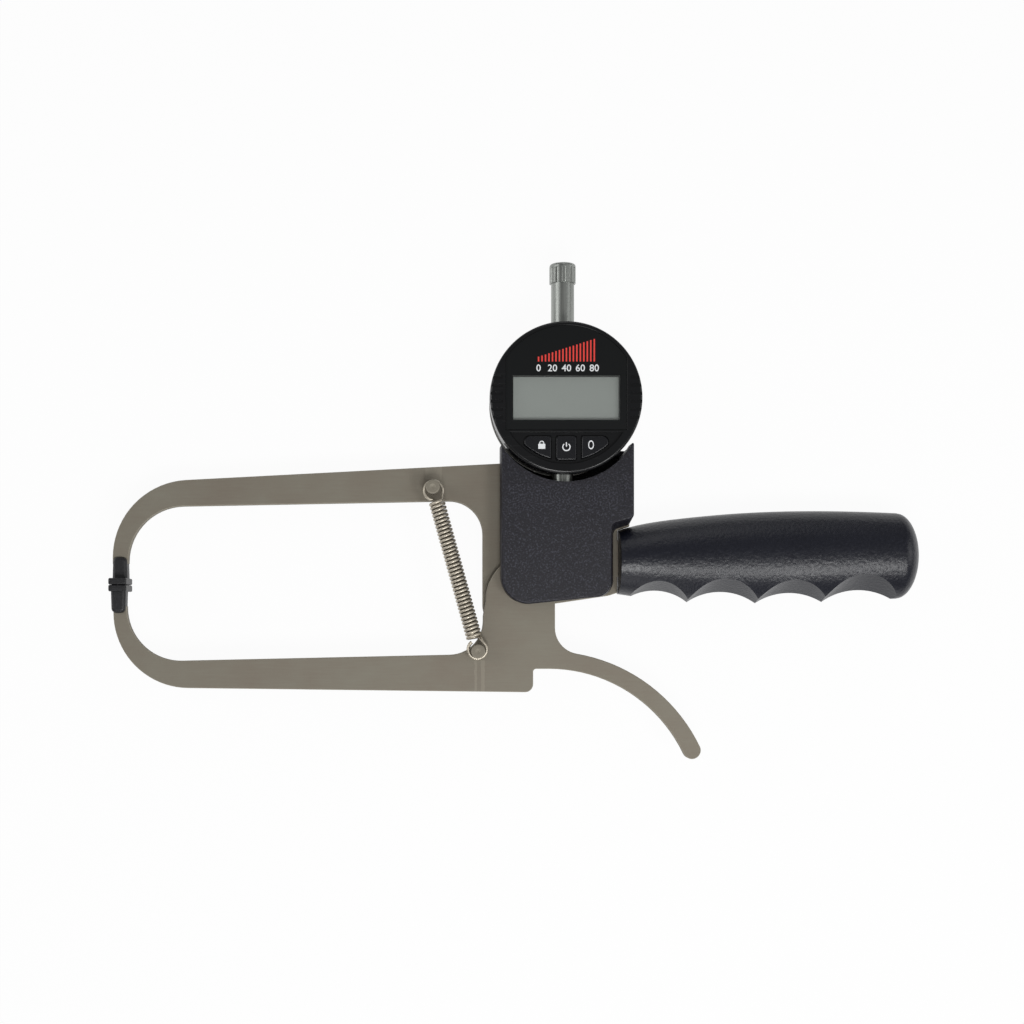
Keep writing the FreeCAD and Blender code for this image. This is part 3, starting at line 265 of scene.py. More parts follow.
# ---- finishes --------------------------------------------------------------------------
def satin_plate_finish(colours):
    """Bead-blasted steel sheet: cloudy, with faint rolling lines, a few places lightened as painted
    reflections of the spring pins, and painted highlights on the edge breaks.
    """
    f = Finish("satin_plate")
    clouds = f.noise(0.018, 4.0, 0.55)
    rolling = f.noise(0.0006, 3.0, 0.6, stretch=(0.06, 1, 1))
    grit = f.noise(0.00018, 2.0, 0.7)
    tone = clouds * 0.55 + rolling * 0.25 + grit * 0.2
    spread = f.steps(tone, [(0.32, 0.0), (0.68, 1.0)])
    steel = Vector(colours.plate_steel)
    body = f.blend(spread, tinted(steel, 0.92, 0.86, 0.84), tinted(steel, 1.07, 1.1, 1.09))
    upward = f.upward()
    front = f.steps(upward, [(0.5, 0.0), (0.6, 1.0)])
    # Painted reflection: pale streaks by the spring pins, on front faces only.
    for low, high in PIN_REFLECTION_PLACES:
        body = f.blend(f.patch(low, high) * front * 0.3, body, steel * 1.6)
    # Painted highlight: the edge breaks are lightened as if they caught the light.
    edge_highlight = f.steps(upward, [(0.3, 0.0), (0.45, 1.0), (0.85, 1.0), (0.97, 0.0)])
    body = f.blend(edge_highlight * 0.6, body, steel * 1.7)
    return f.surface({
        "Base Color": body,
        "Metallic": 0.22,
        "Roughness": 0.54 + clouds * 0.1 + grit * 0.08,
        "Specular IOR Level": 0.3,
        "Normal": f.bump(grit * 0.6 + rolling * 0.4, 0.00002, 0.5),
    })


def turned_steel_finish(colours):
    """Drawn bright steel: streaks along the indicator's sleeve, stem and cap."""
    f = Finish("turned_steel")
    streaks = f.noise(0.0011, 2.0, 0.6, stretch=(1, 0.02, 1))
    clouds = f.noise(0.006, 3.0)
    drawn = f.steps(streaks, [(0.36, 0.0), (0.64, 1.0)])
    steel = Vector(colours.turned_steel)
    return f.surface({
        "Base Color": f.blend(drawn * 0.8 + clouds * 0.2, steel * 0.66, steel * 1.2),
        "Metallic": 1.0,
        "Roughness": 0.28 + streaks * 0.12 + clouds * 0.06,
        "Normal": f.bump(streaks, 0.00003, 0.5),
    })


def fastener_steel_finish(colours):
    """Plated screws: bright, with small dull patches."""
    f = Finish("fastener_steel")
    patches = f.noise(0.0025, 3.0, 0.6)
    grit = f.noise(0.0003, 2.0)
    steel = Vector(colours.bright_steel)
    return f.surface({
        "Base Color": f.blend(patches, steel * 0.7, steel * 0.95),
        "Metallic": 1.0,
        "Roughness": 0.22 + patches * 0.15 + grit * 0.06,
        "Normal": f.bump(grit, 0.00001, 0.3),
    })


def spring_wire_finish(colours):
    """Drawn spring wire: slight drawing marks, darker blooms, and painted shade on the inner sides
    of the turns, where the close coil shades itself.
    """
    f = Finish("spring_wire")
    marks = f.noise(0.0005, 3.0, 0.6)
    bloom = f.noise(0.005, 2.0)
    outward = f.node("ShaderNodeAttribute", {"attribute_name": OUTWARD}, {}, "Fac")
    # Painted shade: where the wire faces the coil's axis it is darkened nearly to black, for the
    # shade between close turns.
    unshaded_share = f.steps(outward, [(0.45, 0.06), (0.95, 1.0)])
    steel = Vector(colours.spring_steel)
    wire_tone = f.blend(bloom * 0.6 + marks * 0.4, steel * 0.8, steel * 1.15)
    return f.surface({
        "Base Color": f.blend(unshaded_share, steel * 0.05, wire_tone),
        "Metallic": 0.85,
        "Roughness": 0.34 + marks * 0.12,
        "Normal": f.bump(marks, 0.00001, 0.3),
    })


def bronze_finish(colours):
    """Sintered bronze: granular and slightly dull."""
    f = Finish("bronze")
    grains = f.noise(0.0004, 2.0, 0.7)
    bronze = Vector(colours.bronze)
    return f.surface({
        "Base Color": f.blend(grains, bronze * 0.75, bronze * 1.1),
        "Metallic": 1.0,
        "Roughness": 0.34 + grains * 0.16,
        "Normal": f.bump(grains, 0.00002, 0.4),
    })


def moulded_finish(name, colour, grain, depth, gloss, level, pale_specks=0.0, scuffed=None):
    """Moulded plastic: spark-eroded grain, cloudy gloss and pale specks, more where scuffed."""
    f = Finish(name)
    erosion = f.noise(grain, 1.0, 0.4)
    fine = f.noise(grain * 0.4, 2.0, 0.6)
    clouds = f.noise(0.02, 3.0)
    height = erosion * 0.85 + fine * 0.15
    base = Vector(colour)
    body = f.blend(erosion * 0.6 + clouds * 0.4, base * 0.7, base * 1.3)
    if pale_specks:
        speckle = f.noise(0.0007, 2.0, 0.6)
        if scuffed:
            speckle = speckle + f.patch(*scuffed) * 0.04
        dust = f.steps(speckle, [(0.52, 0.0), (0.72, pale_specks)])
        body = f.blend(dust, body, base + DUST_TINT)
    return f.surface({
        "Base Color": body,
        "Roughness": gloss + erosion * 0.14 + clouds * 0.06,
        "Normal": f.bump(height, depth, 1.0),
        "Specular IOR Level": level,
    })


def housing_plastic_finish(colours):
    return moulded_finish(
        "housing_plastic", colours.housing, 0.0005, 0.00012, 0.38, 0.32, 0.8, SCUFFED_PLACE)


def grip_plastic_finish(colours):
    return moulded_finish("grip_plastic", colours.grip, 0.0011, 0.00013, 0.24, 0.46, 0.1)


def pad_plastic_finish(colours):
    return moulded_finish("pad_plastic", colours.pads, 0.0004, 0.00006, 0.36, 0.45, 0.2)


def key_plastic_finish(colours):
    return moulded_finish("key_plastic", colours.keys, 0.0003, 0.00003, 0.16, 0.5)


def elastomer_finish(colours):
    return moulded_finish("elastomer", colours.pads, 0.0002, 0.00002, 0.55, 0.25)


def bezel_plastic_finish(colours):
    """Polished black plastic with hairline handling scratches."""
    f = Finish("bezel_plastic")
    scratches = f.noise(0.0009, 2.0, 0.5, stretch=(0.08, 1, 1), turn=(0, 0, 0.6))
    hairlines = f.steps(scratches, [(0.60, 0.0), (0.66, 1.0)])
    haze = f.noise(0.012, 3.0)
    black = Vector(colours.bezel)
    return f.surface({
        "Base Color": f.blend(haze, black * 0.85, black * 1.15),
        "Roughness": 0.18 + haze * 0.1 + hairlines * 0.06,
        "Normal": f.bump(haze * 0.3 + hairlines * 0.1, 0.00002, 0.25),
        "Specular IOR Level": 0.4,
    })


def face_film_finish(colours):
    """Printed polyester film: a fine even tooth over a flat dark ink."""
    f = Finish("face_film")
    tooth = f.noise(0.00015, 2.0, 0.6)
    ink = f.noise(0.009, 3.0)
    film = Vector(colours.face)
    return f.surface({
        "Base Color": f.blend(ink * 0.7 + tooth * 0.3, film * 0.88, film * 1.12),
        "Roughness": 0.4 + tooth * 0.12,
        "Normal": f.bump(tooth, 0.00001, 0.3),
        "Specular IOR Level": 0.18,
    })


def window_plastic_finish(colours):
    """Clear acrylic window: nearly unseen from the front, glossier at a glance."""
    f = Finish("window_plastic")
    glance = f.node("ShaderNodeLayerWeight", {}, {"Blend": 0.25}, "Fresnel")
    smear = f.noise(0.01, 2.0)
    clear = f.node("ShaderNodeBsdfTransparent", {}, {"Color": (0.96, 0.97, 0.96, 1)}, "BSDF")
    sheen = f.node("ShaderNodeBsdfPrincipled", {}, {
        "Base Color": opaque(colours.display),
        "Roughness": 0.06 + smear * 0.08,
    }, "BSDF")
    return f.end(f.node("ShaderNodeMixShader", {}, {0: 0.08 + glance * 0.6, 1: clear, 2: sheen}))


def lcd_glass_finish(colours):
    """Idle liquid crystal cell: grey-green, a little paler towards one corner."""
    f = Finish("lcd_glass")
    where = f.node("ShaderNodeSeparateXYZ", {}, {0: f.place()}, "X")
    low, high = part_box("lcd_panel")
    across = (where - low.x) / (high.x - low.x)
    mottle = f.noise(0.006, 2.0)
    glass = Vector(colours.display)
    return f.surface({
        "Base Color": f.blend(across * 0.5 + mottle * 0.5, glass * 1.04, glass * 0.94),
        "Roughness": 0.3 + mottle * 0.08,
        "Specular IOR Level": 0.4,
    })


def board_laminate_finish(colours):
    """Solder-masked laminate with the weave just showing."""
    f = Finish("board_laminate")
    weave = f.noise(0.0003, 1.0, 0.5, stretch=(1, 0.3, 1))
    green = Vector(colours.board)
    return f.surface({
        "Base Color": f.blend(weave, green * 0.8, green * 1.2),
        "Roughness": 0.35 + weave * 0.1,
    })


def cell_steel_finish(colours):
    """Nickel-plated cell can with fine round brushing."""
    f = Finish("cell_steel")
    brushing = f.noise(0.0004, 2.0, 0.6)
    steel = Vector(colours.bright_steel)
    return f.surface({
        "Base Color": f.blend(brushing, steel * 0.85, steel * 1.05),
        "Metallic": 1.0,
        "Roughness": 0.24 + brushing * 0.1,
    })


def cover_steel_finish(colours):
    """Stamped stainless cover: brushed one way, with faint smudges."""
    f = Finish("cover_steel")
    brushing = f.noise(0.0005, 2.0, 0.6, stretch=(0.04, 1, 1))
    smudges = f.noise(0.008, 3.0)
    steel = Vector(colours.bright_steel)
    return f.surface({
        "Base Color": f.blend(brushing * 0.6 + smudges * 0.4, steel * 0.8, steel * 1.05),
        "Metallic": 1.0,
        "Roughness": 0.26 + brushing * 0.12 + smudges * 0.06,
        "Normal": f.bump(brushing, 0.00001, 0.3),
    })


def ink_finish(name, colour):
    """Screen-printed ink, slightly uneven in cover."""
    f = Finish(name)
    cover = f.noise(0.0005, 2.0)
    ink = Vector(colour)
    return f.surface({
        "Base Color": f.blend(cover, ink * 0.9, ink),
        "Roughness": 0.5 + cover * 0.1,
    })


SLOT_FINISHES = {
    "satin_plate": satin_plate_finish,
    "turned_steel": turned_steel_finish,
    "fastener_steel": fastener_steel_finish,
    "spring_wire": spring_wire_finish,
    "bronze": bronze_finish,
    "housing_plastic": housing_plastic_finish,
    "grip_plastic": grip_plastic_finish,
    "pad_plastic": pad_plastic_finish,
    "bezel_plastic": bezel_plastic_finish,
    "face_film": face_film_finish,
    "key_plastic": key_plastic_finish,
    "window_plastic": window_plastic_finish,
    "lcd_glass": lcd_glass_finish,
    "elastomer": elastomer_finish,
    "board_laminate": board_laminate_finish,
    "cell_steel": cell_steel_finish,
    "cover_steel": cover_steel_finish,
}


def finish(slot):
    """The material of a slot, made at its first use."""
    made = bpy.data.materials.get("finish_" + slot)
    if made is None:
        made = SLOT_FINISHES[slot](bpy.context.scene.caliper_colours)
        made.name = "finish_" + slot
    return made


# ---- geometry trees --------------------------------------------------------------------
class Tree:
    """A Geometry Nodes tree and the few ways in which its nodes are added."""

    def __init__(self, name, inputs):
        self.tree = bpy.data.node_groups.new(name, "GeometryNodeTree")
        for title, kind in [("Geometry", "NodeSocketGeometry")] + inputs:
            self.tree.interface.new_socket(name=title, in_out="INPUT", socket_type=kind)
        self.tree.interface.new_socket(
            name="Geometry", in_out="OUTPUT", socket_type="NodeSocketGeometry")
        self.given = self.tree.nodes.new("NodeGroupInput")

    def value(self, title):
        return self.given.outputs[title]

    def node(self, kind, settings=None, inputs=None, output=0):
        made = self.tree.nodes.new(kind)
        for name, value in (settings or {}).items():
            setattr(made, name, value)
        for name, value in (inputs or {}).items():
            if isinstance(value, bpy.types.NodeSocket):
                self.tree.links.new(value, find_socket(made.inputs, name))
            else:
                find_socket(made.inputs, name).default_value = value
        return find_socket(made.outputs, output)

    def maths(self, operation, first, second):
        return self.node("ShaderNodeMath", {"operation": operation}, {0: first, 1: second})

    def end(self, geometry):
        """Realizes the instances, sets the material and closes the tree."""
        real = self.node("GeometryNodeRealizeInstances", {}, {"Geometry": geometry})
        done = self.node("GeometryNodeSetMaterial", {}, {
            "Geometry": real,
            "Material": self.value("Material"),
        })
        out = self.tree.nodes.new("NodeGroupOutput")
        self.tree.links.new(done, out.inputs["Geometry"])
        return self.tree


def grown(name, source, tree, values):
    """Runs a tree on a data block and returns the result as a plain mesh object."""
    carrier = bpy.data.objects.new(name, source)
    bpy.context.scene.collection.objects.link(carrier)
    modifier = carrier.modifiers.new("Tree", "NODES")
    modifier.node_group = tree
    for item in tree.interface.items_tree:
        if item.in_out == "INPUT" and item.name in values:
            modifier[item.identifier] = values[item.name]
    deps = bpy.context.evaluated_depsgraph_get()
    mesh = bpy.data.meshes.new_from_object(carrier.evaluated_get(deps), depsgraph=deps)
    carrier.modifiers.remove(modifier)
    bpy.data.objects.remove(carrier)
    return shown(name, mesh)


def shown(name, mesh):
    """A mesh as an object at the origin of the scene."""
    mesh.name = name
    made = bpy.data.objects.new(name, mesh)
    bpy.context.scene.collection.objects.link(made)
    return made


def wire_tree():
    """Round wire swept along a path, with closed ends."""
    t = Tree("Round wire", [
        ("Wire Radius", "NodeSocketFloat"),
        ("Sides", "NodeSocketInt"),
        ("Material", "NodeSocketMaterial"),
    ])
    section = t.node("GeometryNodeCurvePrimitiveCircle", {}, {
        "Resolution": t.value("Sides"),
        "Radius": t.value("Wire Radius"),
    })
    swept = t.node("GeometryNodeCurveToMesh", {}, {
        "Curve": t.value("Geometry"),
        "Profile Curve": section,
        "Fill Caps": True,
    })
    smooth = t.node("GeometryNodeSetShadeSmooth", {}, {"Geometry": swept})
    return t.end(smooth)


def tick_tree():
    """Row of tick marks whose height grows evenly from the first to the last."""
    t = Tree("Tick row", [
        ("Count", "NodeSocketInt"),
        ("Pitch", "NodeSocketFloat"),
        ("Tick Width", "NodeSocketFloat"),
        ("First Height", "NodeSocketFloat"),
        ("Last Height", "NodeSocketFloat"),
        ("Ink Thickness", "NodeSocketFloat"),
        ("Material", "NodeSocketMaterial"),
    ])
    step = t.node("ShaderNodeCombineXYZ", {}, {"X": t.value("Pitch")})
    row = t.node("GeometryNodeMeshLine", {}, {"Count": t.value("Count"), "Offset": step})
    size = t.node("ShaderNodeCombineXYZ", {}, {
        "X": t.value("Tick Width"), "Y": 1.0, "Z": t.value("Ink Thickness")})
    tick = t.node("GeometryNodeMeshCube", {}, {"Size": size})
    raised = t.node("GeometryNodeTransform", {}, {"Geometry": tick, "Translation": (0, 0.5, 0)})
    last = t.maths("SUBTRACT", t.value("Count"), 1.0)
    share = t.maths("DIVIDE", t.node("GeometryNodeInputIndex"), last)
    growth = t.maths("SUBTRACT", t.value("Last Height"), t.value("First Height"))
    height = t.maths("ADD", t.value("First Height"), t.maths("MULTIPLY", share, growth))
    scale = t.node("ShaderNodeCombineXYZ", {}, {"X": 1.0, "Y": height, "Z": 1.0})
    ticks = t.node("GeometryNodeInstanceOnPoints", {}, {
        "Points": row, "Instance": raised, "Scale": scale})
    return t.end(ticks)


# ---- outlines --------------------------------------------------------------------------
def path_curve(name, points):
    """A poly curve through points."""
    curve = bpy.data.curves.new(name, "CURVE")
    curve.dimensions = "3D"
    line = curve.splines.new("POLY")
    line.points.add(len(points) - 1)
    for point, place in zip(line.points, points):
        point.co = (*place, 1.0)
    return curve


def eased(start, start_way, end, end_way, steps):
    """Points of a smooth bend between two places, with the ways it sets out and arrives."""
    points = []
    for i in range(1, steps):
        t = i / steps
        weights = (2 * t**3 - 3 * t**2 + 1, t**3 - 2 * t**2 + t, 3 * t**2 - 2 * t**3, t**3 - t**2)
        points.append(sum(
            (w * p for w, p in zip(weights, (start, start_way, end, end_way))), Vector()))
    return points


def plates_mesh(outlines, thickness):
    """Thin flat plates in the XY plane, one for each outline, which is a list of (x, y)."""
    mesh = bpy.data.meshes.new("print")
    work = bmesh.new()
    for outline in outlines:
        bottom = [work.verts.new((x, y, 0)) for x, y in outline]
        top = [work.verts.new((x, y, thickness)) for x, y in outline]
        work.faces.new(top)
        work.faces.new(bottom[::-1])
        count = len(outline)
        for i in range(count):
            j = (i + 1) % count
            work.faces.new((bottom[i], bottom[j], top[j], top[i]))
    bmesh.ops.recalc_face_normals(work, faces=work.faces)
    work.to_mesh(mesh)
    work.free()
    return mesh


def band(centre, radius, width, start, sweep, steps=20):
    """Outline of a band bent round a centre. Angles are in degrees."""
    outline = []
    outer, inner = radius + width / 2, radius - width / 2
    for r, order in ((outer, range(steps + 1)), (inner, range(steps, -1, -1))):
        for i in order:
            angle = math.radians(start + sweep * i / steps)
            outline.append((centre[0] + r * math.cos(angle), centre[1] + r * math.sin(angle)))
    return outline


def rectangle(x0, x1, y0, y1):
    """Outline of an upright rectangle."""
    return [(x0, y0), (x1, y0), (x1, y1), (x0, y1)]


def printed(name, mesh, place, ink, body):
    """Puts a print on its surface and lets it move with its body."""
    mesh.transform(Matrix.Translation(place))
    piece = shown(name, mesh)
    piece.data.materials.clear()
    piece.data.materials.append(ink)
    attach(piece, body)
    return piece


# ---- settings --------------------------------------------------------------------------
def length(title, text, default):
    """A setting that is a length, in metres."""
    return FloatProperty(
        name=title, description=text, default=default, unit="LENGTH", min=0.0, precision=5)


def colour(title, text, red, green, blue):
    """A setting that is a colour, given in 0 to 255 display values."""
    return FloatVectorProperty(
        name=title, description=text, default=linear(red, green, blue), subtype="COLOR",
        size=3, min=0.0, max=1.0)


class SpringSettings(bpy.types.PropertyGroup):
    """Sizes of the closing spring."""
    turns: IntProperty(
        name="Turns", description="Full turns between the two loops", default=37, min=4, max=80)
    wire: length("Wire", "Diameter of the wire", 1.3 * MM)
    coil: length("Coil", "Outer diameter of the coil", 6.3 * MM)
    loop: length("Loop", "Radius of an end loop, to the middle of its wire", 3.5 * MM)
    upper_gap: length("Upper gap", "From the upper pin's middle to its loop's wire", 1.5 * MM)
    lower_gap: length("Lower gap", "From the lower pin's middle to its loop's wire", 2.05 * MM)


class PrintSettings(bpy.types.PropertyGroup):
    """Sizes of what is printed on the dial."""
    ticks: IntProperty(
        name="Ticks", description="Tick marks above the display", default=17, min=5, max=41)
    tick_pitch: length("Tick pitch", "Distance between tick marks", 1.3 * MM)
    tick_width: length("Tick width", "Width of a tick mark", 0.55 * MM)
    first_tick: length("First tick", "Height of the first tick mark", 1.8 * MM)
    last_tick: length("Last tick", "Height of the last tick mark", 8.4 * MM)
    figures: length("Figures", "Height of the numbers", 2.6 * MM)
    ink: length("Ink", "Thickness of the ink", 0.04 * MM)
    tick_foot: length("Tick foot", "From the dial's middle up to the tick marks", 13.3 * MM)
    figure_foot: length("Figure foot", "From the dial's middle up to the numbers", 9.6 * MM)
    sign_side: length("Sign side", "From the dial's middle to an outer key's sign", 9.2 * MM)
    sign_drop: length("Sign drop", "From the dial's middle down to the outer signs", 17.8 * MM)
    power_drop: length("Power drop", "From the dial's middle down to the power sign", 18.6 * MM)


class ColourSettings(bpy.types.PropertyGroup):
    """Colours of the finishes."""
    plate_steel: colour("Plate steel", "Satin plates of both arms", 122, 117, 106)
    bright_steel: colour("Bright steel", "Screws, cells and back cover", 190, 189, 184)
    spring_steel: colour("Spring steel", "Closing spring", 188, 180, 165)
    turned_steel: colour("Turned steel", "Sleeve, stem and cap of the indicator", 158, 161, 157)
    bronze: colour("Bronze", "Hinge bush and shim", 176, 132, 84)
    housing: colour("Housing", "Covers round the hinge", 23, 22, 29)
    grip: colour("Grip", "Handle", 13, 15, 26)
    pads: colour("Pads", "Jaw pads", 18, 18, 21)
    bezel: colour("Bezel", "Ring and case of the indicator", 10, 11, 13)
    face: colour("Face", "Film round the display", 12, 14, 15)
    keys: colour("Keys", "Three push keys", 9, 10, 15)
    display: colour("Display", "Idle display", 166, 169, 167)
    board: colour("Board", "Circuit board", 26, 74, 52)
    scale_ink: colour("Scale ink", "Tick marks", 226, 62, 52)
    figure_ink: colour("Figure ink", "Numbers and key signs", 226, 228, 230)
    floor: colour("Floor", "Floor under the caliper", 226, 226, 226)


class StageSettings(bpy.types.PropertyGroup):
    """Floor, lamps and camera."""
    floor_radius: length("Floor radius", "Radius of the floor", 3.0)
    lens: FloatProperty(
        name="Lens", description="Focal length in millimetres on a 36 mm sensor", default=52.96,
        min=20.0, max=200.0)
    camera: FloatVectorProperty(
        name="Camera", description="Place of the camera, which looks straight down",
        default=(-0.039725, -0.041494, 0.593), subtype="TRANSLATION", unit="LENGTH", size=3)
    shift: FloatVectorProperty(
        name="Shift", description="How far the view is shifted, as a share of its width",
        default=(0.0986, 0.1055), size=2)
    lamps: FloatProperty(
        name="Lamps", description="Power in watts of a lamp whose share is 1", default=1.3, min=0.0)
    world: FloatProperty(
        name="World", description="Strength of the light from all sides", default=0.24, min=0.0)


# ---- operators -------------------------------------------------------------------------
class CALIPER_OT_stage(bpy.types.Operator):
    """Lay the floor and set up the lamps and the camera"""
    bl_idname = "caliper.stage"
    bl_label = "Stage"

    def execute(self, context):
        lay_floor(context.scene)
        set_world(context.scene)
        for name, place, size, share in LAMPS:
            hang_lamp(context.scene, name, place, size, share)
        place_camera(context.scene)
        context.scene.view_settings.view_transform = "Standard"
        return {"FINISHED"}


def lay_floor(scene):
    """A pale disc that stays near white for the camera and still shows the shadow."""
    radius = scene.caliper_stage.floor_radius
    mesh = bpy.data.meshes.new("floor")
    work = bmesh.new()
    bmesh.ops.create_circle(work, cap_ends=True, segments=96, radius=radius)
    work.to_mesh(mesh)
    work.free()
    floor = shown("floor", mesh)
    f = Finish("floor_paper")
    seen = f.node("ShaderNodeLightPath", output="Is Camera Ray")
    mirrored = f.node("ShaderNodeLightPath", output="Is Glossy Ray")
    through = f.node("ShaderNodeLightPath", output="Is Transmission Ray")
    share = f.maths("MAXIMUM", seen, f.maths("MAXIMUM", mirrored, through)) * FLOOR_GLOW
    tooth = f.noise(0.002, 2.0)
    paper = Vector(scene.caliper_colours.floor)
    lit = f.node("ShaderNodeBsdfDiffuse", {}, {
        "Color": f.blend(tooth, paper, paper * 0.985)}, "BSDF")
    white = f.node("ShaderNodeEmission", {}, {"Color": (1, 1, 1, 1), "Strength": 1.0}, "Emission")
    mixed = f.node("ShaderNodeMixShader", {}, {0: share, 1: lit, 2: white})
    mesh.materials.append(f.end(mixed))


def set_world(scene):
    """An even pale surround."""
    world = bpy.data.worlds.new("surround")
    world.use_nodes = True
    background = world.node_tree.nodes["Background"]
    background.inputs["Color"].default_value = (1, 1, 1, 1)
    background.inputs["Strength"].default_value = scene.caliper_stage.world
    scene.world = world


def hang_lamp(scene, name, place, size, share):
    """A square soft lamp that faces the caliper."""
    lamp = bpy.data.lights.new(name, "AREA")
    lamp.shape = "SQUARE"
    lamp.size = size
    lamp.energy = scene.caliper_stage.lamps * share
    made = bpy.data.objects.new(name, lamp)
    made.location = place
    made.rotation_euler = (LAMP_TARGET - Vector(place)).to_track_quat("-Z", "Y").to_euler()
    scene.collection.objects.link(made)


def place_camera(scene):
    """A camera straight above, whose view is shifted so that the whole caliper is in it."""
    stage = scene.caliper_stage
    camera = bpy.data.cameras.new("camera")
    camera.lens = stage.lens
    camera.sensor_width = 36.0
    camera.shift_x, camera.shift_y = stage.shift
    made = bpy.data.objects.new("camera", camera)
    made.location = stage.camera
    scene.collection.objects.link(made)
    scene.camera = made


class CALIPER_OT_finishes(bpy.types.Operator):
    """Give every solid of the caliper its finish"""
    bl_idname = "caliper.finishes"
    bl_label = "Finishes"

    def execute(self, context):
        for node in nodes.values():
            for holder in node.material_slots:
                slot = holder.material.name.split(".")[0]
                if slot not in SLOT_FINISHES:
                    raise RuntimeError(f"no finish for slot {slot} of {node.name}")
                holder.material = finish(slot)
        return {"FINISHED"}


class CALIPER_OT_closing_spring(bpy.types.Operator):
    """Wind the closing spring with a loop at each end"""
    bl_idname = "caliper.closing_spring"
    bl_label = "Closing spring"

    def execute(self, context):
        settings = context.scene.caliper_spring
        upper, lower = middle("upper_spring_pin"), middle("lower_spring_pin")
        level = middle("closing_spring").z
        upper.z = lower.z = level
        points = spring_path(settings, upper, lower)
        spring = grown("closing_spring_wire", path_curve("spring_path", points), wire_tree(), {
            "Wire Radius": settings.wire / 2,
            "Sides": 10,
            "Material": finish("spring_wire"),
        })
        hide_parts("closing_spring", "spring_lower_hook")
        mark_outward(spring.data, settings, upper, lower)
        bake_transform(spring)
        return {"FINISHED"}


def mark_outward(mesh, settings, upper, lower):
    """Notes how far each point of a turn faces away from the coil's axis, from 0 to 1."""
    along = (lower - upper).normalized()
    mean = (settings.coil - settings.wire) / 2
    share = mesh.attributes.new(OUTWARD, "FLOAT", "POINT")
    coil_end = (lower - upper).length - PLAIN_LOWER_RUN
    for point, vertex in zip(share.data, mesh.vertices):
        run = vertex.co - upper
        distance = (run - along * run.dot(along)).length
        in_coil = PLAIN_UPPER_RUN < run.dot(along) < coil_end
        facing = (distance - mean) / settings.wire + 0.5
        point.value = min(max(facing, 0.0), 1.0) if in_coil else 1.0


def loop_centre(settings, gap):
    """Distance from a pin to the middle of its loop, which lies towards the coil."""
    return settings.loop - settings.wire / 2 - gap


def spring_path(settings, upper, lower):
    """Points along the wire: upper loop, coil, lower loop."""
    span = (lower - upper).length
    mean = (settings.coil - settings.wire) / 2
    upper_middle = loop_centre(settings, settings.upper_gap)
    lower_middle = loop_centre(settings, settings.lower_gap)
    reach = settings.loop + settings.wire * LOOP_TO_COIL
    start = upper_middle + reach
    coil = span - start - lower_middle - reach
    first, last = COIL_TRIM, settings.turns * 360.0 - COIL_TRIM
    steps = settings.turns * TURN_STEPS
    turns = []
    for i in range(steps + 1):
        angle = math.radians(first + (last - first) * i / steps)
        turns.append(Vector((
            start + coil * angle / math.radians(settings.turns * 360.0),
            mean * math.cos(angle),
            mean * math.sin(angle),
        )))
    upper_loop = loop_points(settings, upper_middle)
    lower_loop = [
        Vector((span - p.x, p.y, -p.z)) for p in reversed(loop_points(settings, lower_middle))]
    bend_in = joined(upper_loop, turns)
    bend_out = joined(turns, lower_loop)
    along = (lower - upper).normalized()
    across = Vector((-along.y, along.x, 0))
    turn = Matrix((along, across, along.cross(across))).transposed()
    return [upper + turn @ p for p in upper_loop + bend_in + turns + bend_out + lower_loop]


def loop_points(settings, centre):
    """An open loop round the pin, which ends on its way to the coil."""
    points = []
    for i in range(LOOP_STEPS + 1):
        angle = math.radians(LOOP_START + LOOP_SWEEP * i / LOOP_STEPS)
        points.append(Vector((
            centre + settings.loop * math.cos(angle), settings.loop * math.sin(angle), 0)))
    return points


def joined(before, after):
    """The bend between two runs of wire."""
    way = BEND_FULLNESS * (after[0] - before[-1]).length
    leave = (before[-1] - before[-2]).normalized() * way
    arrive = (after[1] - after[0]).normalized() * way
    return eased(before[-1], leave, after[0], arrive, BEND_STEPS)


class CALIPER_OT_dial_scale(bpy.types.Operator):
    """Print the tick marks and numbers above the display"""
    bl_idname = "caliper.dial_scale"
    bl_label = "Dial scale"

    def execute(self, context):
        settings = context.scene.caliper_print
        colours = context.scene.caliper_colours
        dial = middle("indicator_bezel")
        face_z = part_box("face_panel")[1].z
        base = dial.y + settings.tick_foot
        left = dial.x - settings.tick_pitch * (settings.ticks - 1) / 2
        ticks = grown("dial_ticks", bpy.data.meshes.new("seed"), tick_tree(), {
            "Count": settings.ticks,
            "Pitch": settings.tick_pitch,
            "Tick Width": settings.tick_width,
            "First Height": settings.first_tick,
            "Last Height": settings.last_tick,
            "Ink Thickness": settings.ink,
            "Material": ink_finish("scale_ink", colours.scale_ink),
        })
        ticks.data.transform(Matrix.Translation((left, base, face_z + settings.ink / 2)))
        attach(ticks, "frame")
        white = ink_finish("figure_ink", colours.figure_ink)
        every = (settings.ticks - 1) // (FIGURE_COUNT - 1)
        for i in range(FIGURE_COUNT):
            number = FIGURE_STEP * i
            figure = figure_mesh(str(number), settings.figures, settings.ink)
            x = left + settings.tick_pitch * every * i
            place = (x, dial.y + settings.figure_foot, face_z)
            piece = printed(f"dial_figure_{number}", figure, place, white, "frame")
        return {"FINISHED"}


def figure_mesh(text, height, ink):
    """A number as a thin flat mesh, centred on X and standing on Y = 0."""
    words = bpy.data.curves.new("figure", "FONT")
    words.body = text
    words.size = height * LETTER_SIZE
    words.extrude = ink / 2
    words.resolution_u = 3
    words.offset = height * LETTER_WEIGHT
    carrier = bpy.data.objects.new("figure", words)
    bpy.context.scene.collection.objects.link(carrier)
    deps = bpy.context.evaluated_depsgraph_get()
    mesh = bpy.data.meshes.new_from_object(carrier.evaluated_get(deps), depsgraph=deps)
    bpy.data.objects.remove(carrier)
    across = [v.co.x for v in mesh.vertices]
    up = [v.co.y for v in mesh.vertices]
    mesh.transform(Matrix.Translation((-(min(across) + max(across)) / 2, -min(up), ink / 2)))
    return mesh


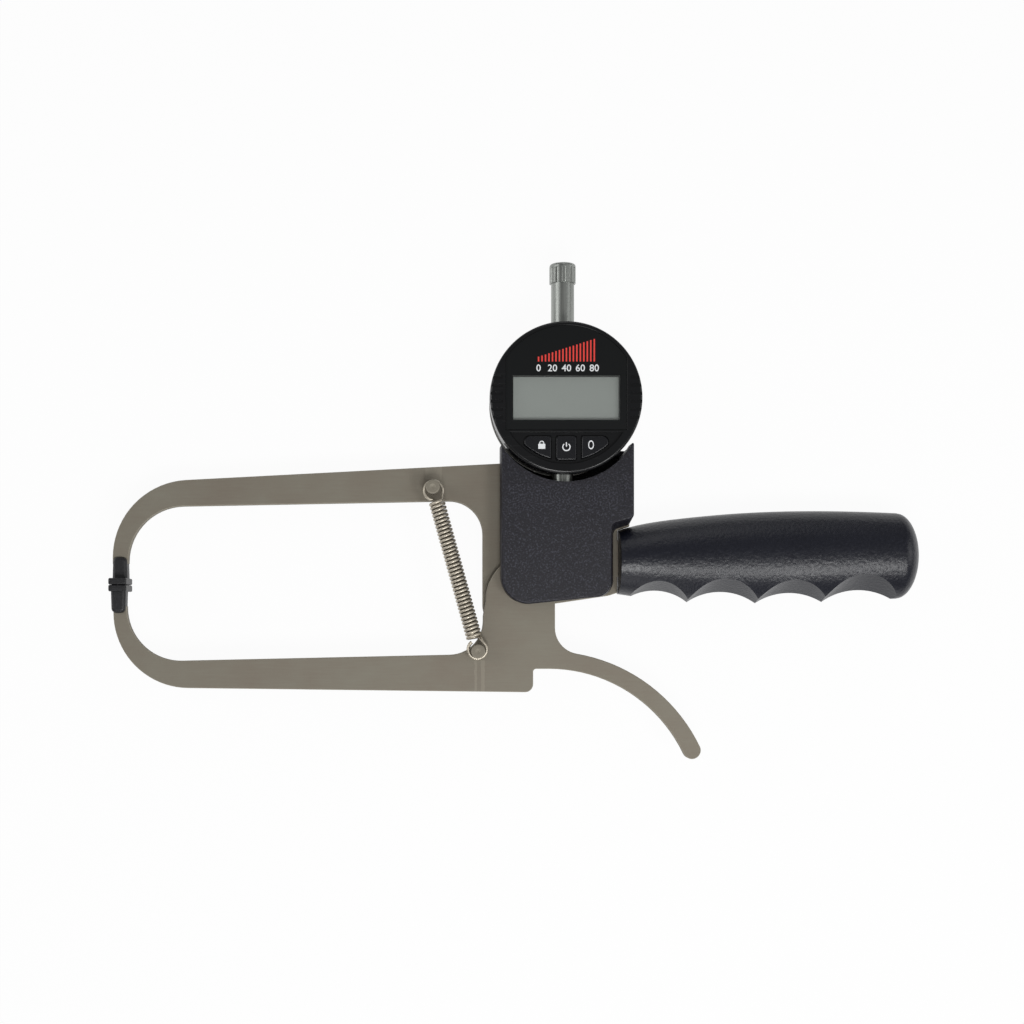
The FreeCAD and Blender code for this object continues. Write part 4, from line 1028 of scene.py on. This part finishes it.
class CALIPER_OT_key_signs(bpy.types.Operator):
    """Print a padlock, a power sign and a nought on the three keys"""
    bl_idname = "caliper.key_signs"
    bl_label = "Key signs"

    def execute(self, context):
        settings = context.scene.caliper_print
        white = ink_finish("key_ink", context.scene.caliper_colours.figure_ink)
        dial = middle("indicator_bezel")
        for key, sign, x, drop in (
            ("hold", padlock_sign(), -settings.sign_side, settings.sign_drop),
            ("power", power_sign(), 0.0, settings.power_drop),
            ("zero", nought_sign(), settings.sign_side, settings.sign_drop),
        ):
            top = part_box(key + "_key")[1].z
            mesh = plates_mesh(sign, settings.ink)
            place = (dial.x + x, dial.y - drop, top)
            piece = printed(key + "_sign", mesh, place, white, key + "_button")
        return {"FINISHED"}


def padlock_sign():
    """Outlines of a closed padlock, in metres."""
    half, bottom, top = 1.3 * MM, -1.5 * MM, 0.4 * MM
    reach, line, rise = 0.75 * MM, 0.36 * MM, 0.62 * MM
    body = rectangle(-half, half, bottom, top)
    shackle = band((0, rise), reach, line, 0, 180)
    legs = [rectangle(x - line / 2, x + line / 2, top, rise) for x in (-reach, reach)]
    return [body, shackle] + legs


def power_sign():
    """Outlines of an open ring with a bar, in metres."""
    ring = band((0, 0), 1.35 * MM, 0.4 * MM, 125, 290, 32)
    bar = rectangle(-0.2 * MM, 0.2 * MM, 0.1 * MM, 1.75 * MM)
    return [ring, bar]


def nought_sign():
    """Outline of an upright oval ring, in metres, left open at its top by a hair's width."""
    narrow, tall = 0.72, 1.15
    ring = band((0, 0), 1.25 * MM, 0.42 * MM, 90, 359.9, 40)
    return [[(x * narrow, y * tall) for x, y in ring]]


# ---- panel and registration ------------------------------------------------------------
PIECE_OPERATORS = (
    CALIPER_OT_finishes,
    CALIPER_OT_closing_spring,
    CALIPER_OT_dial_scale,
    CALIPER_OT_key_signs,
    CALIPER_OT_stage,
)


class CALIPER_PT_sidebar(bpy.types.Panel):
    """Lists the caliper's operators and settings"""
    bl_label = "Skinfold Caliper"
    bl_idname = "CALIPER_PT_sidebar"
    bl_space_type = "VIEW_3D"
    bl_region_type = "UI"
    bl_category = "Caliper"

    def draw(self, context):
        for operator in PIECE_OPERATORS:
            self.layout.operator(operator.bl_idname)
        for holder in SETTINGS:
            box = self.layout.box()
            group = getattr(context.scene, holder)
            for name in group.bl_rna.properties.keys():
                if name not in ("name", "rna_type"):
                    box.prop(group, name)


SETTINGS = {
    "caliper_spring": SpringSettings,
    "caliper_print": PrintSettings,
    "caliper_colours": ColourSettings,
    "caliper_stage": StageSettings,
}
CLASSES = (*SETTINGS.values(), *PIECE_OPERATORS, CALIPER_PT_sidebar)


def register():
    for cls in CLASSES:
        bpy.utils.register_class(cls)
    for holder, group in SETTINGS.items():
        setattr(bpy.types.Scene, holder, PointerProperty(type=group))


def unregister():
    for holder in SETTINGS:
        delattr(bpy.types.Scene, holder)
    for cls in reversed(CLASSES):
        bpy.utils.unregister_class(cls)


def main():
    """Makes everything in order."""
    register()
    bpy.ops.caliper.finishes()
    bpy.ops.caliper.closing_spring()
    bpy.ops.caliper.dial_scale()
    bpy.ops.caliper.key_signs()
    bpy.ops.caliper.stage()


if __name__ == "__main__":
    main()
